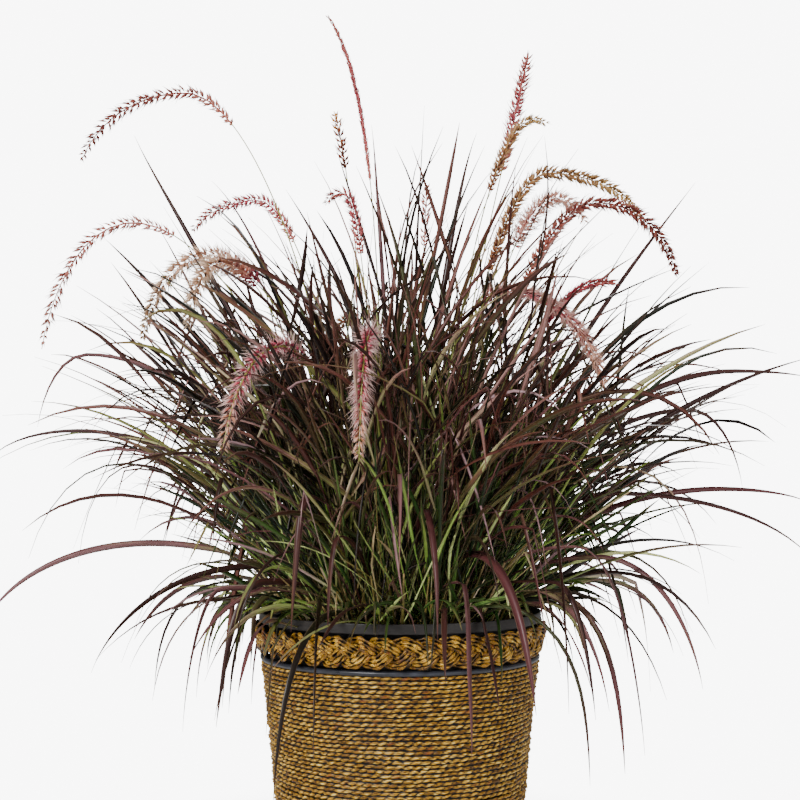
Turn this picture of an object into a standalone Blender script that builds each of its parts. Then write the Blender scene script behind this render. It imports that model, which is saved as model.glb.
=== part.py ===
"""Potted fountain grass: a purple fountain grass clump in its plastic grow pot, set in a rope-wound basket.

Units are metres, +Z is up, and the origin is the centre of the basket's underside.
"""
import math
from typing import NamedTuple

import bmesh
import bpy
from mathutils import Vector

# ------------------------------------------------------------------ driving dimensions
GAP = 0.0003                    # clearance between pieces that touch

BASKET_BASE_RADIUS = 0.143
BASKET_TAPER = 0.1036           # growth of the wall's radius per metre of height
WALL_TOP = 0.2930
WALL_THICKNESS = 0.008
BASE_THICKNESS = 0.010

HOOP_WIRE = 0.005               # diameter of the hoop's wire
RIM_TOP = 0.340
RIM_OUTER_RADIUS = 0.187

POT_WALL = 0.002
POT_LIP_RADIUS = 0.1765
POT_LIP_TOP = 0.356
POT_FLOOR = BASE_THICKNESS + GAP

SOIL_TOP = 0.320
CROWN_RADIUS = 0.120
CROWN_TOP = 0.360

ROUND_STEPS = 44
STALK_SEGMENTS = 15
BLADE_SEGMENTS = 10
STALK_RADIUS = 0.0013
STALK_TIP_RADIUS = 0.0009
BLADE_THICKNESS = 0.0012
BLADE_TIP_WIDTH = 0.0012
FOOT_GAP = 0.001                # the shoots stand this far off the crown's flat top


class Stem(NamedTuple):
    """A shoot that grows in the upright plane through the pot's axis at its heading.

    Reaches are measured from the axis and heights from the floor. A stem with a crest arches over
    it and falls to its tip; one without a crest rises all the way, and lean says how early it leans.
    """

    name: str
    heading: float
    root: float
    crest: tuple
    tip: tuple
    size: tuple
    lean: float = 0.55


# Flower stalks. size is the length and the greatest radius of the flower head at the stalk's end.
PLUMES = (
    Stem("plume_top", 164, 0.016, None, (0.100, 1.125), (0.230, 0.006), 0.05),
    Stem("plume_small_upright", 140, 0.036, None, (0.116, 1.010), (0.080, 0.008)),
    Stem("plume_curled", 196, 0.024, (0.073, 0.878), (0.098, 0.860), (0.110, 0.007)),
    Stem("plume_high_left", 172, 0.055, (0.290, 1.025), (0.430, 0.935), (0.240, 0.009)),
    Stem("plume_mid_left", 187, 0.080, (0.335, 0.835), (0.445, 0.675), (0.240, 0.009)),
    Stem("plume_pink_left", 156, 0.055, (0.215, 0.892), (0.315, 0.855), (0.190, 0.011)),
    Stem("plume_tan_left", 203, 0.075, (0.245, 0.785), (0.330, 0.675), (0.190, 0.013)),
    Stem("plume_tan_inner", 218, 0.060, (0.262, 0.764), (0.306, 0.680), (0.130, 0.012)),
    Stem("plume_front_left", 236, 0.080, (0.232, 0.664), (0.335, 0.540), (0.210, 0.016)),
    Stem("plume_front_centre", 262, 0.080, (0.235, 0.672), (0.305, 0.533), (0.190, 0.016)),
    Stem("plume_pink_front_right", -40, 0.075, (0.150, 0.740), (0.300, 0.620), (0.230, 0.010)),
    Stem("plume_red_right", -24, 0.085, (0.262, 0.750), (0.284, 0.748), (0.100, 0.006)),
    Stem("plume_far_right", -10, 0.070, (0.248, 0.860), (0.347, 0.763), (0.280, 0.012)),
    Stem("plume_big_right", 4, 0.050, (0.192, 0.911), (0.315, 0.850), (0.290, 0.011)),
    Stem("plume_right_hook", 22, 0.045, (0.195, 0.998), (0.216, 0.992), (0.140, 0.008)),
    Stem("plume_right_tuft", 31, 0.075, (0.256, 0.904), (0.302, 0.872), (0.140, 0.015)),
    Stem("plume_right_tall", 43, 0.055, None, (0.250, 1.122), (0.170, 0.011), 0.85),
    Stem("plume_back_small", 66, 0.050, None, (0.092, 0.915), (0.090, 0.008)),
    Stem("plume_back_right", 72, 0.080, (0.220, 0.720), (0.330, 0.600), (0.200, 0.012)),
    Stem("plume_back_left", 113, 0.075, (0.200, 0.740), (0.300, 0.630), (0.180, 0.011)),
)

# The longest leaves. size holds the blade's greatest width.
BLADES = (
    Stem("blade_left_hook", 177, 0.095, (0.405, 0.675), (0.468, 0.582), (0.006,)),
    Stem("blade_left_level", 183, 0.105, (0.405, 0.575), (0.515, 0.536), (0.006,)),
    Stem("blade_left_falling", 191, 0.105, (0.310, 0.437), (0.505, 0.338), (0.006,)),
    Stem("blade_left_drooper", 209, 0.105, (0.205, 0.412), (0.392, 0.300), (0.006,)),
    Stem("blade_left_thin_hanger", 222, 0.105, (0.270, 0.392), (0.319, 0.240), (0.005,)),
    Stem("blade_left_hanger", 231, 0.105, (0.245, 0.400), (0.312, 0.250), (0.006,)),
    Stem("blade_tall_left", 167, 0.085, None, (0.368, 0.978), (0.006,), 0.85),
    Stem("blade_upper_left", 149, 0.075, None, (0.310, 0.935), (0.005,)),
    Stem("blade_right_level", 1, 0.095, (0.430, 0.653), (0.530, 0.643), (0.007,)),
    Stem("blade_right_rising", -6, 0.100, None, (0.513, 0.666), (0.006,)),
    Stem("blade_right_low", -15, 0.105, (0.395, 0.503), (0.500, 0.484), (0.006,)),
    Stem("blade_right_falling", -20, 0.110, (0.270, 0.497), (0.500, 0.418), (0.006,)),
    Stem("blade_right_drooper", -33, 0.105, (0.276, 0.425), (0.394, 0.286), (0.005,)),
    Stem("blade_right_hanger", -49, 0.105, (0.297, 0.440), (0.384, 0.230), (0.006,)),
    Stem("blade_right_inner_hanger", -58, 0.105, (0.310, 0.405), (0.373, 0.271), (0.005,)),
    Stem("blade_right_mid", 9, 0.095, (0.387, 0.606), (0.458, 0.503), (0.005,)),
    Stem("blade_far_tall_right", 15, 0.085, None, (0.418, 0.920), (0.005,), 0.80),
    Stem("blade_tall_right", 37, 0.025, None, (0.130, 0.981), (0.006,)),
    Stem("blade_tall_middle", 60, 0.022, None, (0.065, 1.012), (0.005,)),
    Stem("blade_tall_arch", 108, 0.030, None, (0.130, 1.005), (0.005,)),
    Stem("blade_over_rim", -72, 0.105, (0.221, 0.400), (0.247, 0.213), (0.006,)),
    Stem("blade_wide_mauve", -65, 0.090, (0.205, 0.430), (0.331, 0.273), (0.008,)),
    Stem("blade_front_left_fall", 247, 0.090, (0.255, 0.495), (0.292, 0.354), (0.006,)),
    Stem("blade_front_left_inner", 254, 0.105, (0.245, 0.452), (0.275, 0.349), (0.006,)),
    Stem("blade_front_right_fall", -82, 0.105, (0.200, 0.481), (0.285, 0.347), (0.006,)),
    Stem("blade_front_arch", -52, 0.070, (0.188, 0.611), (0.285, 0.514), (0.006,)),
    Stem("blade_front_reach", 270, 0.095, (0.280, 0.520), (0.410, 0.420), (0.006,)),
    Stem("blade_back_right_low", 51, 0.100, (0.330, 0.560), (0.470, 0.440), (0.006,)),
    Stem("blade_back_right", 61, 0.095, (0.300, 0.660), (0.450, 0.580), (0.006,)),
    Stem("blade_back_mid_right", 79, 0.105, (0.270, 0.500), (0.430, 0.360), (0.006,)),
    Stem("blade_back_middle", 91, 0.095, (0.310, 0.620), (0.480, 0.540), (0.006,)),
    Stem("blade_back_left", 122, 0.095, (0.300, 0.640), (0.460, 0.550), (0.006,)),
    Stem("blade_back_left_low", 137, 0.105, (0.340, 0.540), (0.490, 0.410), (0.006,)),
)


# ------------------------------------------------------------------ helpers
def clear_scene():
    """Start from an empty file."""
    for thing in list(bpy.data.objects):
        bpy.data.objects.remove(thing, do_unlink=True)


def principled(name, colour, roughness, metallic=0.0):
    """A plain material for one sub-part."""
    material = bpy.data.materials.new(name)
    material.use_nodes = True
    shader = material.node_tree.nodes["Principled BSDF"]
    shader.inputs["Base Color"].default_value = (*colour, 1.0)
    shader.inputs["Roughness"].default_value = roughness
    shader.inputs["Metallic"].default_value = metallic
    return material


def place(thing, material, collection, parent):
    """Give an object its material and put it in the model's collection under its parent."""
    thing.data.materials.append(material)
    thing.parent = parent
    collection.objects.link(thing)
    return thing


def turned(name, profile, closed):
    """A turned solid: a profile of (radius, height) points spun round the Z axis.

    The profile runs down its outer side. A closed profile makes a ring; an open one starts and
    ends on the axis and makes a solid or a cup.
    """
    mesh = bpy.data.meshes.new(name)
    work = bmesh.new()
    points = [work.verts.new((radius, 0.0, height)) for radius, height in profile]
    for start, end in zip(points, points[1:]):
        work.edges.new((start, end))
    if closed:
        work.edges.new((points[-1], points[0]))
    work.to_mesh(mesh)
    work.free()
    thing = bpy.data.objects.new(name, mesh)
    spin = thing.modifiers.new("turn", "SCREW")
    spin.steps = ROUND_STEPS
    spin.render_steps = ROUND_STEPS
    spin.use_merge_vertices = True
    spin.merge_threshold = 0.0001
    spin.use_smooth_shade = True
    return thing


def bezier(a, b, c, d, t):
    """The point at t on the cubic with end points a and d and handles b and c."""
    s = 1.0 - t
    weights = (s ** 3, 3 * s * s * t, 3 * s * t * t, t ** 3)
    return tuple(sum(w * p[k] for w, p in zip(weights, (a, b, c, d))) for k in range(2))


def stem_legs(stem):
    """The cubic legs of a stem's curve, as (reach, height) points."""
    foot_height = CROWN_TOP + FOOT_GAP
    foot = (stem.root, foot_height)
    tip_reach, tip_height = stem.tip
    if stem.crest is None:
        out = tip_reach - stem.root
        up = tip_height - foot_height
        low = (stem.root + 0.15 * out, foot_height + 0.40 * up)
        high = (stem.root + stem.lean * out, foot_height + 0.85 * up)
        return [(foot, low, high, stem.tip)]
    reach, height = stem.crest
    out = reach - stem.root
    up = height - foot_height
    fall_out = tip_reach - reach
    fall = height - tip_height
    low = (stem.root + 0.06 * out, foot_height + 0.45 * up)
    high = (stem.root + 0.55 * out, height)
    over = (reach + 0.55 * fall_out, height)
    down = (tip_reach - 0.10 * fall_out, tip_height + 0.50 * fall)
    return [(foot, low, high, stem.crest), (stem.crest, over, down, stem.tip)]


def stem_route(stem, segments):
    """Points spaced evenly along a stem's curve, from its foot to its tip."""
    fine = []
    for leg in stem_legs(stem):
        fine.extend(bezier(*leg, step / 60) for step in range(61))
    lengths = [0.0]
    for (r0, h0), (r1, h1) in zip(fine, fine[1:]):
        lengths.append(lengths[-1] + math.hypot(r1 - r0, h1 - h0))
    heading = math.radians(stem.heading)
    route = []
    index = 0
    for step in range(segments + 1):
        wanted = lengths[-1] * step / segments
        while index < len(fine) - 2 and lengths[index + 1] < wanted:
            index += 1
        span = max(lengths[index + 1] - lengths[index], 1e-9)
        share = (wanted - lengths[index]) / span
        reach = fine[index][0] + share * (fine[index + 1][0] - fine[index][0])
        height = fine[index][1] + share * (fine[index + 1][1] - fine[index][1])
        route.append(Vector((reach * math.cos(heading), reach * math.sin(heading), height)))
    return route, lengths[-1]


# ------------------------------------------------------------------ basket
def wall_radius(height):
    """Outer radius of the basket's wall at a height."""
    return BASKET_BASE_RADIUS + BASKET_TAPER * height


def basket_wall():
    """The tapering wall that the seagrass rope is wound into."""
    top = wall_radius(WALL_TOP)
    profile = (
        (top - WALL_THICKNESS, WALL_TOP),
        (top, WALL_TOP),
        (BASKET_BASE_RADIUS, 0.0),
        (BASKET_BASE_RADIUS - WALL_THICKNESS, 0.0),
    )
    return turned("basket_wall", profile, closed=True)


def basket_base():
    """The flat disc that closes the basket's underside."""
    radius = BASKET_BASE_RADIUS - WALL_THICKNESS - GAP
    profile = ((0.0, BASE_THICKNESS), (radius, BASE_THICKNESS), (radius, 0.0), (0.0, 0.0))
    return turned("basket_base", profile, closed=False)


def metal_hoop():
    """The round-wire hoop that sits on the wall, under the braid."""
    centre_radius = wall_radius(WALL_TOP) - 0.0015
    centre_height = WALL_TOP + GAP + HOOP_WIRE / 2
    sides = 8
    profile = []
    for side in range(sides):
        angle = math.pi - 2 * math.pi * (side + 0.5) / sides
        radius = centre_radius + HOOP_WIRE / 2 * math.cos(angle)
        height = centre_height + HOOP_WIRE / 2 * math.sin(angle)
        profile.append((radius, height))
    return turned("metal_hoop", profile, closed=True)


def braided_rim():
    """The plaited edging that bulges and leans outward round the basket's mouth."""
    bottom = WALL_TOP + HOOP_WIRE + 2 * GAP
    middle = (bottom + RIM_TOP) / 2
    profile = (
        (0.1665, bottom + 0.002),
        (0.1690, middle),
        (0.1735, RIM_TOP - 0.003),
        (0.1790, RIM_TOP),
        (0.1845, RIM_TOP - 0.002),
        (RIM_OUTER_RADIUS, RIM_TOP - 0.009),
        (0.1850, middle),
        (0.1795, bottom + 0.004),
        (0.1750, bottom),
    )
    return turned("braided_rim", profile, closed=True)


# ------------------------------------------------------------------ pot and soil
def pot_radius(height):
    """Outer radius of the grow pot's wall at a height."""
    return wall_radius(height) - WALL_THICKNESS - 0.0025


def grow_pot():
    """The thin plastic pot inside the basket, with a turned-out lip resting over the braid."""
    shoulder = RIM_TOP + 0.0012
    neck = pot_radius(WALL_TOP)
    lip_inner = POT_LIP_RADIUS - POT_WALL
    profile = (
        (0.0, POT_FLOOR + POT_WALL),
        (pot_radius(POT_FLOOR) - POT_WALL, POT_FLOOR + POT_WALL),
        (neck - POT_WALL, WALL_TOP),
        (neck - POT_WALL + 0.002, shoulder + POT_WALL),
        (lip_inner, shoulder + POT_WALL + 0.001),
        (lip_inner, POT_LIP_TOP),
        (POT_LIP_RADIUS, POT_LIP_TOP),
        (POT_LIP_RADIUS + 0.0005, shoulder + 0.0008),
        (neck + 0.0025, shoulder),
        (neck, WALL_TOP),
        (pot_radius(POT_FLOOR), POT_FLOOR),
        (0.0, POT_FLOOR),
    )
    return turned("grow_pot", profile, closed=False)


def potting_soil():
    """The root ball and compost that fill the grow pot."""
    floor = POT_FLOOR + POT_WALL + GAP
    neck = pot_radius(WALL_TOP) - POT_WALL - GAP
    profile = (
        (0.0, SOIL_TOP),
        (neck, SOIL_TOP),
        (neck, WALL_TOP),
        (pot_radius(POT_FLOOR) - POT_WALL - 2 * GAP, floor),
        (0.0, floor),
    )
    return turned("potting_soil", profile, closed=False)


# ------------------------------------------------------------------ grass
def grass_crown():
    """The dense bunch of shoot bases that every stalk and leaf rises from."""
    foot = SOIL_TOP + GAP
    profile = (
        (0.0, CROWN_TOP),
        (CROWN_RADIUS, CROWN_TOP),
        (CROWN_RADIUS + 0.012, CROWN_TOP - 0.010),
        (CROWN_RADIUS + 0.004, foot),
        (0.0, foot),
    )
    return turned("grass_crown", profile, closed=False)


def plume(stem):
    """A flower stalk and the bristly head that it carries, grown as one piece."""
    head_length, head_radius = stem.size
    route, length = stem_route(stem, STALK_SEGMENTS)
    curve = bpy.data.curves.new(stem.name, "CURVE")
    curve.dimensions = "3D"
    curve.bevel_depth = 1.0
    curve.bevel_resolution = 1
    curve.use_fill_caps = True
    spline = curve.splines.new("POLY")
    spline.points.add(STALK_SEGMENTS)
    for index, point in enumerate(route):
        share = length * (1 - index / STALK_SEGMENTS) / head_length
        radius = STALK_RADIUS
        if share < 1.0:
            radius = STALK_TIP_RADIUS + head_radius * math.sin(math.pi * share) ** 0.6
        spline.points[index].co = (*point, 1.0)
        spline.points[index].radius = radius
    return bpy.data.objects.new(stem.name, curve)


def blade(stem):
    """One long leaf: a narrow ribbon that tapers to its tip, drawn out along its curve."""
    greatest, = stem.size
    route, _length = stem_route(stem, BLADE_SEGMENTS)
    heading = math.radians(stem.heading)
    across = Vector((-math.sin(heading), math.cos(heading), 0.0))
    mesh = bpy.data.meshes.new(stem.name)
    work = bmesh.new()
    edge = None
    for index, point in enumerate(route):
        share = index / BLADE_SEGMENTS
        fullness = (1 - share ** 2.2) * min(1.0, 0.6 + 2 * share)
        width = BLADE_TIP_WIDTH + (greatest - BLADE_TIP_WIDTH) * fullness
        left = point - across * width / 2
        right = point + across * width / 2
        if edge is None:
            edge = work.edges.new((work.verts.new(left), work.verts.new(right)))
            continue
        drawn = bmesh.ops.extrude_edge_only(work, edges=[edge])["geom"]
        ends = [item for item in drawn if isinstance(item, bmesh.types.BMVert)]
        edges = [item for item in drawn if isinstance(item, bmesh.types.BMEdge)]
        edge = next(item for item in edges if set(item.verts) == set(ends))
        ends.sort(key=lambda vertex: vertex.co.dot(across))
        ends[0].co = left
        ends[1].co = right
    work.to_mesh(mesh)
    work.free()
    thing = bpy.data.objects.new(stem.name, mesh)
    body = thing.modifiers.new("thickness", "SOLIDIFY")
    body.thickness = BLADE_THICKNESS
    body.offset = 0.0
    return thing


# ------------------------------------------------------------------ assembly
def main():
    """Build the whole potted plant."""
    clear_scene()
    collection = bpy.data.collections.new("potted fountain grass")
    bpy.context.scene.collection.children.link(collection)
    model = bpy.data.objects.new("potted_fountain_grass", None)
    collection.objects.link(model)

    rope = principled("seagrass rope", (0.45, 0.27, 0.09), 0.7)
    braid = principled("plaited seagrass", (0.50, 0.31, 0.11), 0.65)
    steel = principled("dark painted steel", (0.05, 0.06, 0.08), 0.4, metallic=0.6)
    plastic = principled("moulded plastic", (0.04, 0.035, 0.03), 0.5)
    compost = principled("bark compost", (0.05, 0.03, 0.02), 0.95)
    straw = principled("shoot bases", (0.25, 0.27, 0.08), 0.7)
    flower = principled("flower heads", (0.45, 0.20, 0.17), 0.8)
    leaf = principled("purple leaf", (0.10, 0.03, 0.04), 0.5)

    place(basket_wall(), rope, collection, model)
    place(basket_base(), rope, collection, model)
    place(metal_hoop(), steel, collection, model)
    place(braided_rim(), braid, collection, model)
    place(grow_pot(), plastic, collection, model)
    place(potting_soil(), compost, collection, model)
    place(grass_crown(), straw, collection, model)
    for stem in PLUMES:
        place(plume(stem), flower, collection, model)
    for stem in BLADES:
        place(blade(stem), leaf, collection, model)


main()
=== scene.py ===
"""Looks for a potted fountain grass: a purple clump in a rope-wound basket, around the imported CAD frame."""
import math

import bpy
import numpy as np
from bpy.props import FloatProperty, FloatVectorProperty, IntProperty, PointerProperty
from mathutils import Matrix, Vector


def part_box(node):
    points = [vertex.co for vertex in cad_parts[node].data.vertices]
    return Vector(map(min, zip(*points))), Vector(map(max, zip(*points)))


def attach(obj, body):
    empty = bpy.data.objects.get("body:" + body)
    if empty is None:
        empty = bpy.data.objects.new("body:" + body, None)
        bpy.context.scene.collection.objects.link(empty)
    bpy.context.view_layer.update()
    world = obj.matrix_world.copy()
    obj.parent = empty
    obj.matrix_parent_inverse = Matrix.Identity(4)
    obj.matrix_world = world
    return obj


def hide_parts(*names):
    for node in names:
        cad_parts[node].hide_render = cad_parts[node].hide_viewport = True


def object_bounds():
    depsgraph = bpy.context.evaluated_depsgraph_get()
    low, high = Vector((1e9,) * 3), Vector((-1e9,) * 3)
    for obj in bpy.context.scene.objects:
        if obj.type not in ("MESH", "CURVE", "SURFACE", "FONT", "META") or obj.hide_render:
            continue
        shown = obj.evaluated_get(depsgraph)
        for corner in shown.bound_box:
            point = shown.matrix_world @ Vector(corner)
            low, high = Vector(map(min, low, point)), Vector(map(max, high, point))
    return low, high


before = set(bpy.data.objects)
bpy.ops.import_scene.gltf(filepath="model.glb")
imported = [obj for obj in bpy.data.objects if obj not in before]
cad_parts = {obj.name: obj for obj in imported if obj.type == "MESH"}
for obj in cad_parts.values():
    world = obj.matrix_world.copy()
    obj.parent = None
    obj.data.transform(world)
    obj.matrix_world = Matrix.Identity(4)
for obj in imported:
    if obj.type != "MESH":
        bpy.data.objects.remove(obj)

bl_info = {
    "name": "Potted Fountain Grass",
    "version": (1, 0, 0),
    "blender": (4, 5, 0),
    "location": "View3D > Sidebar > Grass",
    "description": "Builds a purple fountain grass clump in a rope-wound basket with a plaited rim",
    "category": "Object",
}

BODY = "root"
CAD_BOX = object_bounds()
MM = 0.001
BACKDROP_WHITE = 8.5
WHITE = (1.0, 1.0, 1.0, 1.0)
LENS_MM = 58.5
CAMERA_PLACE = (0.0, -1.65, 0.514)
CAMERA_TILT = 3.52
LIGHTS_AIM = (0.0, 0.0, 0.5)
WALL_SEED = 3


# ---------------------------------------------------------------- colours
def linear(code):
    """An sRGB hex colour as linear red, green and blue."""
    channels = [int(code[k:k + 2], 16) / 255 for k in (1, 3, 5)]
    return tuple(c / 12.92 if c <= 0.04045 else ((c + 0.055) / 1.055) ** 2.4 for c in channels)


# ---------------------------------------------------------------- stems, as the CAD has them
# name: heading in degrees, root reach, crest (reach, height) or the lean of a stem with no crest, tip
FLOWER_STALKS = {
    "top": (164, 0.016, 0.05, (0.100, 1.125)),
    "small_upright": (140, 0.036, 0.55, (0.116, 1.010)),
    "curled": (196, 0.024, (0.073, 0.878), (0.098, 0.860)),
    "high_left": (172, 0.055, (0.290, 1.025), (0.430, 0.935)),
    "mid_left": (187, 0.080, (0.335, 0.835), (0.445, 0.675)),
    "pink_left": (156, 0.055, (0.215, 0.892), (0.315, 0.855)),
    "tan_left": (203, 0.075, (0.245, 0.785), (0.330, 0.675)),
    "tan_inner": (218, 0.060, (0.262, 0.764), (0.306, 0.680)),
    "front_left": (236, 0.080, (0.232, 0.664), (0.335, 0.540)),
    "front_centre": (262, 0.080, (0.235, 0.672), (0.305, 0.533)),
    "pink_front_right": (-40, 0.075, (0.150, 0.740), (0.300, 0.620)),
    "red_right": (-24, 0.085, (0.262, 0.750), (0.284, 0.748)),
    "far_right": (-10, 0.070, (0.248, 0.860), (0.347, 0.763)),
    "big_right": (4, 0.050, (0.192, 0.911), (0.315, 0.850)),
    "right_hook": (22, 0.045, (0.195, 0.998), (0.216, 0.992)),
    "right_tuft": (31, 0.075, (0.256, 0.904), (0.302, 0.872)),
    "right_tall": (43, 0.055, 0.85, (0.250, 1.122)),
    "back_small": (66, 0.050, 0.55, (0.092, 0.915)),
    "back_right": (72, 0.080, (0.220, 0.720), (0.330, 0.600)),
    "back_left": (113, 0.075, (0.200, 0.740), (0.300, 0.630)),
}

# name: head length in metres, its radius in mm, look, spacing of spikelets in a file in mm, their
# half thickness in mm, degrees they stand off the axis, bristles to each, their half thickness in
# mm, and degrees the bristles stand off the axis
FLOWER_HEADS = {
    "top": (0.235, 5.0, "rosy", 4.4, 1.2, 14, 3, 0.40, 14),
    "small_upright": (0.085, 9.0, "amber", 9.0, 1.9, 38, 2, 0.45, 42),
    "curled": (0.115, 10.0, "rosy", 7.0, 1.6, 44, 4, 0.50, 54),
    "high_left": (0.262, 11.0, "maroon", 9.5, 2.0, 48, 3, 0.60, 54),
    "mid_left": (0.262, 11.0, "dusty", 12.0, 1.8, 45, 3, 0.60, 52),
    "pink_left": (0.200, 11.0, "rosy", 7.5, 1.8, 46, 3, 0.55, 56),
    "tan_left": (0.205, 15.5, "cream", 7.5, 1.6, 46, 7, 0.55, 62),
    "tan_inner": (0.155, 18.0, "cream", 7.0, 1.6, 46, 8, 0.55, 66),
    "front_left": (0.215, 20.5, "silver", 8.0, 1.8, 46, 5, 0.42, 60),
    "front_centre": (0.195, 20.0, "silver", 8.0, 2.0, 40, 6, 0.42, 60),
    "pink_front_right": (0.235, 12.5, "blush", 6.4, 1.5, 30, 6, 0.50, 38),
    "red_right": (0.115, 8.5, "red", 5.6, 1.5, 24, 4, 0.40, 30),
    "far_right": (0.290, 12.5, "maroon", 6.8, 2.1, 50, 3, 0.60, 56),
    "big_right": (0.300, 12.0, "golden", 6.0, 2.2, 50, 3, 0.60, 54),
    "right_hook": (0.150, 9.5, "golden", 7.0, 1.8, 42, 4, 0.55, 48),
    "right_tuft": (0.170, 19.0, "pale", 7.0, 1.6, 50, 7, 0.60, 62),
    "right_tall": (0.190, 13.0, "rosy", 6.8, 2.1, 38, 3, 0.65, 44),
    "back_small": (0.090, 8.5, "dusty", 9.5, 1.6, 38, 2, 0.45, 46),
    "back_right": (0.200, 15.0, "silver", 8.0, 1.6, 46, 5, 0.45, 60),
    "back_left": (0.180, 12.5, "golden", 7.5, 1.8, 44, 3, 0.50, 56),
}

# the spikelets' colour at the base of a head, at its middle and near its tip, and the bristles' colour
FLOWER_LOOKS = {
    "rosy": ("#c87468", "#9c3444", "#944a3c", "#d4847c"),
    "red": ("#8a2032", "#a42c40", "#a8544a", "#c06464"),
    "blush": ("#982840", "#a84c58", "#c88c6c", "#f6ccbc"),
    "amber": ("#4c1812", "#702818", "#b87828", "#b07038"),
    "maroon": ("#c47c6c", "#742c24", "#582018", "#b87464"),
    "dusty": ("#c47c70", "#9c5448", "#9c6452", "#cc8c80"),
    "golden": ("#78382a", "#8c5e36", "#ac884e", "#dcb27c"),
    "cream": ("#a02c44", "#c49070", "#745430", "#f6dcc0"),
    "pale": ("#84243a", "#b87064", "#c89880", "#f4c4ae"),
    "silver": ("#b03058", "#b03c54", "#bc805c", "#fadcd2"),
}

# name: heading, root reach, crest or lean, tip, width in mm
LONG_LEAVES = {
    "left_hook": (177, 0.095, (0.405, 0.675), (0.468, 0.582), 8.0),
    "left_level": (183, 0.105, (0.405, 0.575), (0.515, 0.536), 8.0),
    "left_falling": (191, 0.105, (0.310, 0.437), (0.505, 0.338), 9.0),
    "left_drooper": (209, 0.105, (0.205, 0.412), (0.392, 0.300), 8.5),
    "left_thin_hanger": (222, 0.105, (0.270, 0.392), (0.319, 0.240), 6.0),
    "left_hanger": (231, 0.105, (0.245, 0.400), (0.312, 0.250), 9.0),
    "tall_left": (167, 0.085, 0.85, (0.368, 0.978), 8.5),
    "upper_left": (149, 0.075, 0.55, (0.310, 0.935), 6.0),
    "right_level": (1, 0.095, (0.430, 0.653), (0.530, 0.643), 9.0),
    "right_rising": (-6, 0.100, 0.55, (0.513, 0.666), 7.5),
    "right_low": (-15, 0.105, (0.395, 0.503), (0.500, 0.484), 8.0),
    "right_falling": (-20, 0.110, (0.270, 0.497), (0.500, 0.418), 8.5),
    "right_drooper": (-33, 0.105, (0.276, 0.425), (0.394, 0.286), 7.0),
    "right_hanger": (-49, 0.105, (0.297, 0.440), (0.384, 0.230), 8.5),
    "right_inner_hanger": (-58, 0.105, (0.310, 0.405), (0.373, 0.271), 7.0),
    "right_mid": (9, 0.095, (0.387, 0.606), (0.458, 0.503), 7.0),
    "far_tall_right": (15, 0.085, 0.80, (0.418, 0.920), 7.0),
    "tall_right": (37, 0.025, 0.55, (0.130, 0.981), 8.5),
    "tall_middle": (60, 0.022, 0.55, (0.065, 1.012), 7.0),
    "tall_arch": (108, 0.030, 0.55, (0.130, 1.005), 6.5),
    "over_rim": (-72, 0.105, (0.221, 0.400), (0.247, 0.213), 8.0),
    "wide_mauve": (-65, 0.090, (0.205, 0.430), (0.331, 0.273), 11.0),
    "front_left_fall": (247, 0.090, (0.255, 0.495), (0.292, 0.354), 9.5),
    "front_left_inner": (254, 0.105, (0.245, 0.452), (0.275, 0.349), 7.0),
    "front_right_fall": (-82, 0.105, (0.200, 0.481), (0.285, 0.347), 8.0),
    "front_arch": (-52, 0.070, (0.188, 0.611), (0.285, 0.514), 8.5),
    "front_reach": (270, 0.095, (0.280, 0.520), (0.410, 0.420), 5.0),
    "back_right_low": (51, 0.100, (0.330, 0.560), (0.470, 0.440), 8.0),
    "back_right": (61, 0.095, (0.300, 0.660), (0.450, 0.580), 8.0),
    "back_mid_right": (79, 0.105, (0.270, 0.500), (0.430, 0.360), 8.0),
    "back_middle": (91, 0.095, (0.310, 0.620), (0.480, 0.540), 8.0),
    "back_left": (122, 0.095, (0.300, 0.640), (0.460, 0.550), 8.0),
    "back_left_low": (137, 0.105, (0.340, 0.540), (0.490, 0.410), 8.0),
}


# ---------------------------------------------------------------- settings
class BasketSettings(bpy.types.PropertyGroup):
    """Sizes and colours of the basket and the pot in it."""

    rope_pitch: FloatProperty(
        name="Rope pitch", description="Height of one turn of rope", default=5.2 * MM, unit="LENGTH")
    rope_lay: FloatProperty(
        name="Rope lay", description="Length of one twist of the rope", default=10.5 * MM, unit="LENGTH")
    plait_repeats: IntProperty(
        name="Plait repeats", description="Full weaves of the plait round the rim", default=14)
    straw: FloatVectorProperty(
        name="Seagrass", description="Bright side of the dried seagrass", default=linear("#dca61e"),
        subtype="COLOR", size=3)
    steel: FloatVectorProperty(
        name="Hoop paint", description="Paint of the steel hoop", default=linear("#1e2028"),
        subtype="COLOR", size=3)
    plastic: FloatVectorProperty(
        name="Pot plastic", description="Recycled plastic of the grow pot", default=linear("#1a1512"),
        subtype="COLOR", size=3)


class GrassSettings(bpy.types.PropertyGroup):
    """Sizes and colours of the grass."""

    leaf_width: FloatProperty(
        name="Leaf width", description="Widest part of a common leaf", default=6.8 * MM, unit="LENGTH")
    purple_leaves: IntProperty(
        name="Purple leaves", description="Leaves coloured to their base", default=1020)
    green_leaves: IntProperty(
        name="Green leaves", description="Young leaves, green with purple tips", default=560)
    arching_leaves: IntProperty(
        name="Arching leaves", description="Leaves that cross the others and arch over", default=280)
    falling_leaves: IntProperty(
        name="Falling leaves", description="Leaves that fall out over the rim", default=75)
    lip_leaves: IntProperty(
        name="Lip leaves", description="Short leaves flopped over the pot's lip", default=150)
    straw_leaves: IntProperty(
        name="Straw leaves", description="Dried leaves and bare stems", default=120)
    seed: IntProperty(name="Seed", description="Another number grows another clump", default=7)
    green: FloatVectorProperty(
        name="Green", description="Young leaf", default=linear("#3f6128"), subtype="COLOR", size=3)
    purple: FloatVectorProperty(
        name="Purple", description="Grown leaf", default=linear("#4e261f"), subtype="COLOR", size=3)


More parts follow.
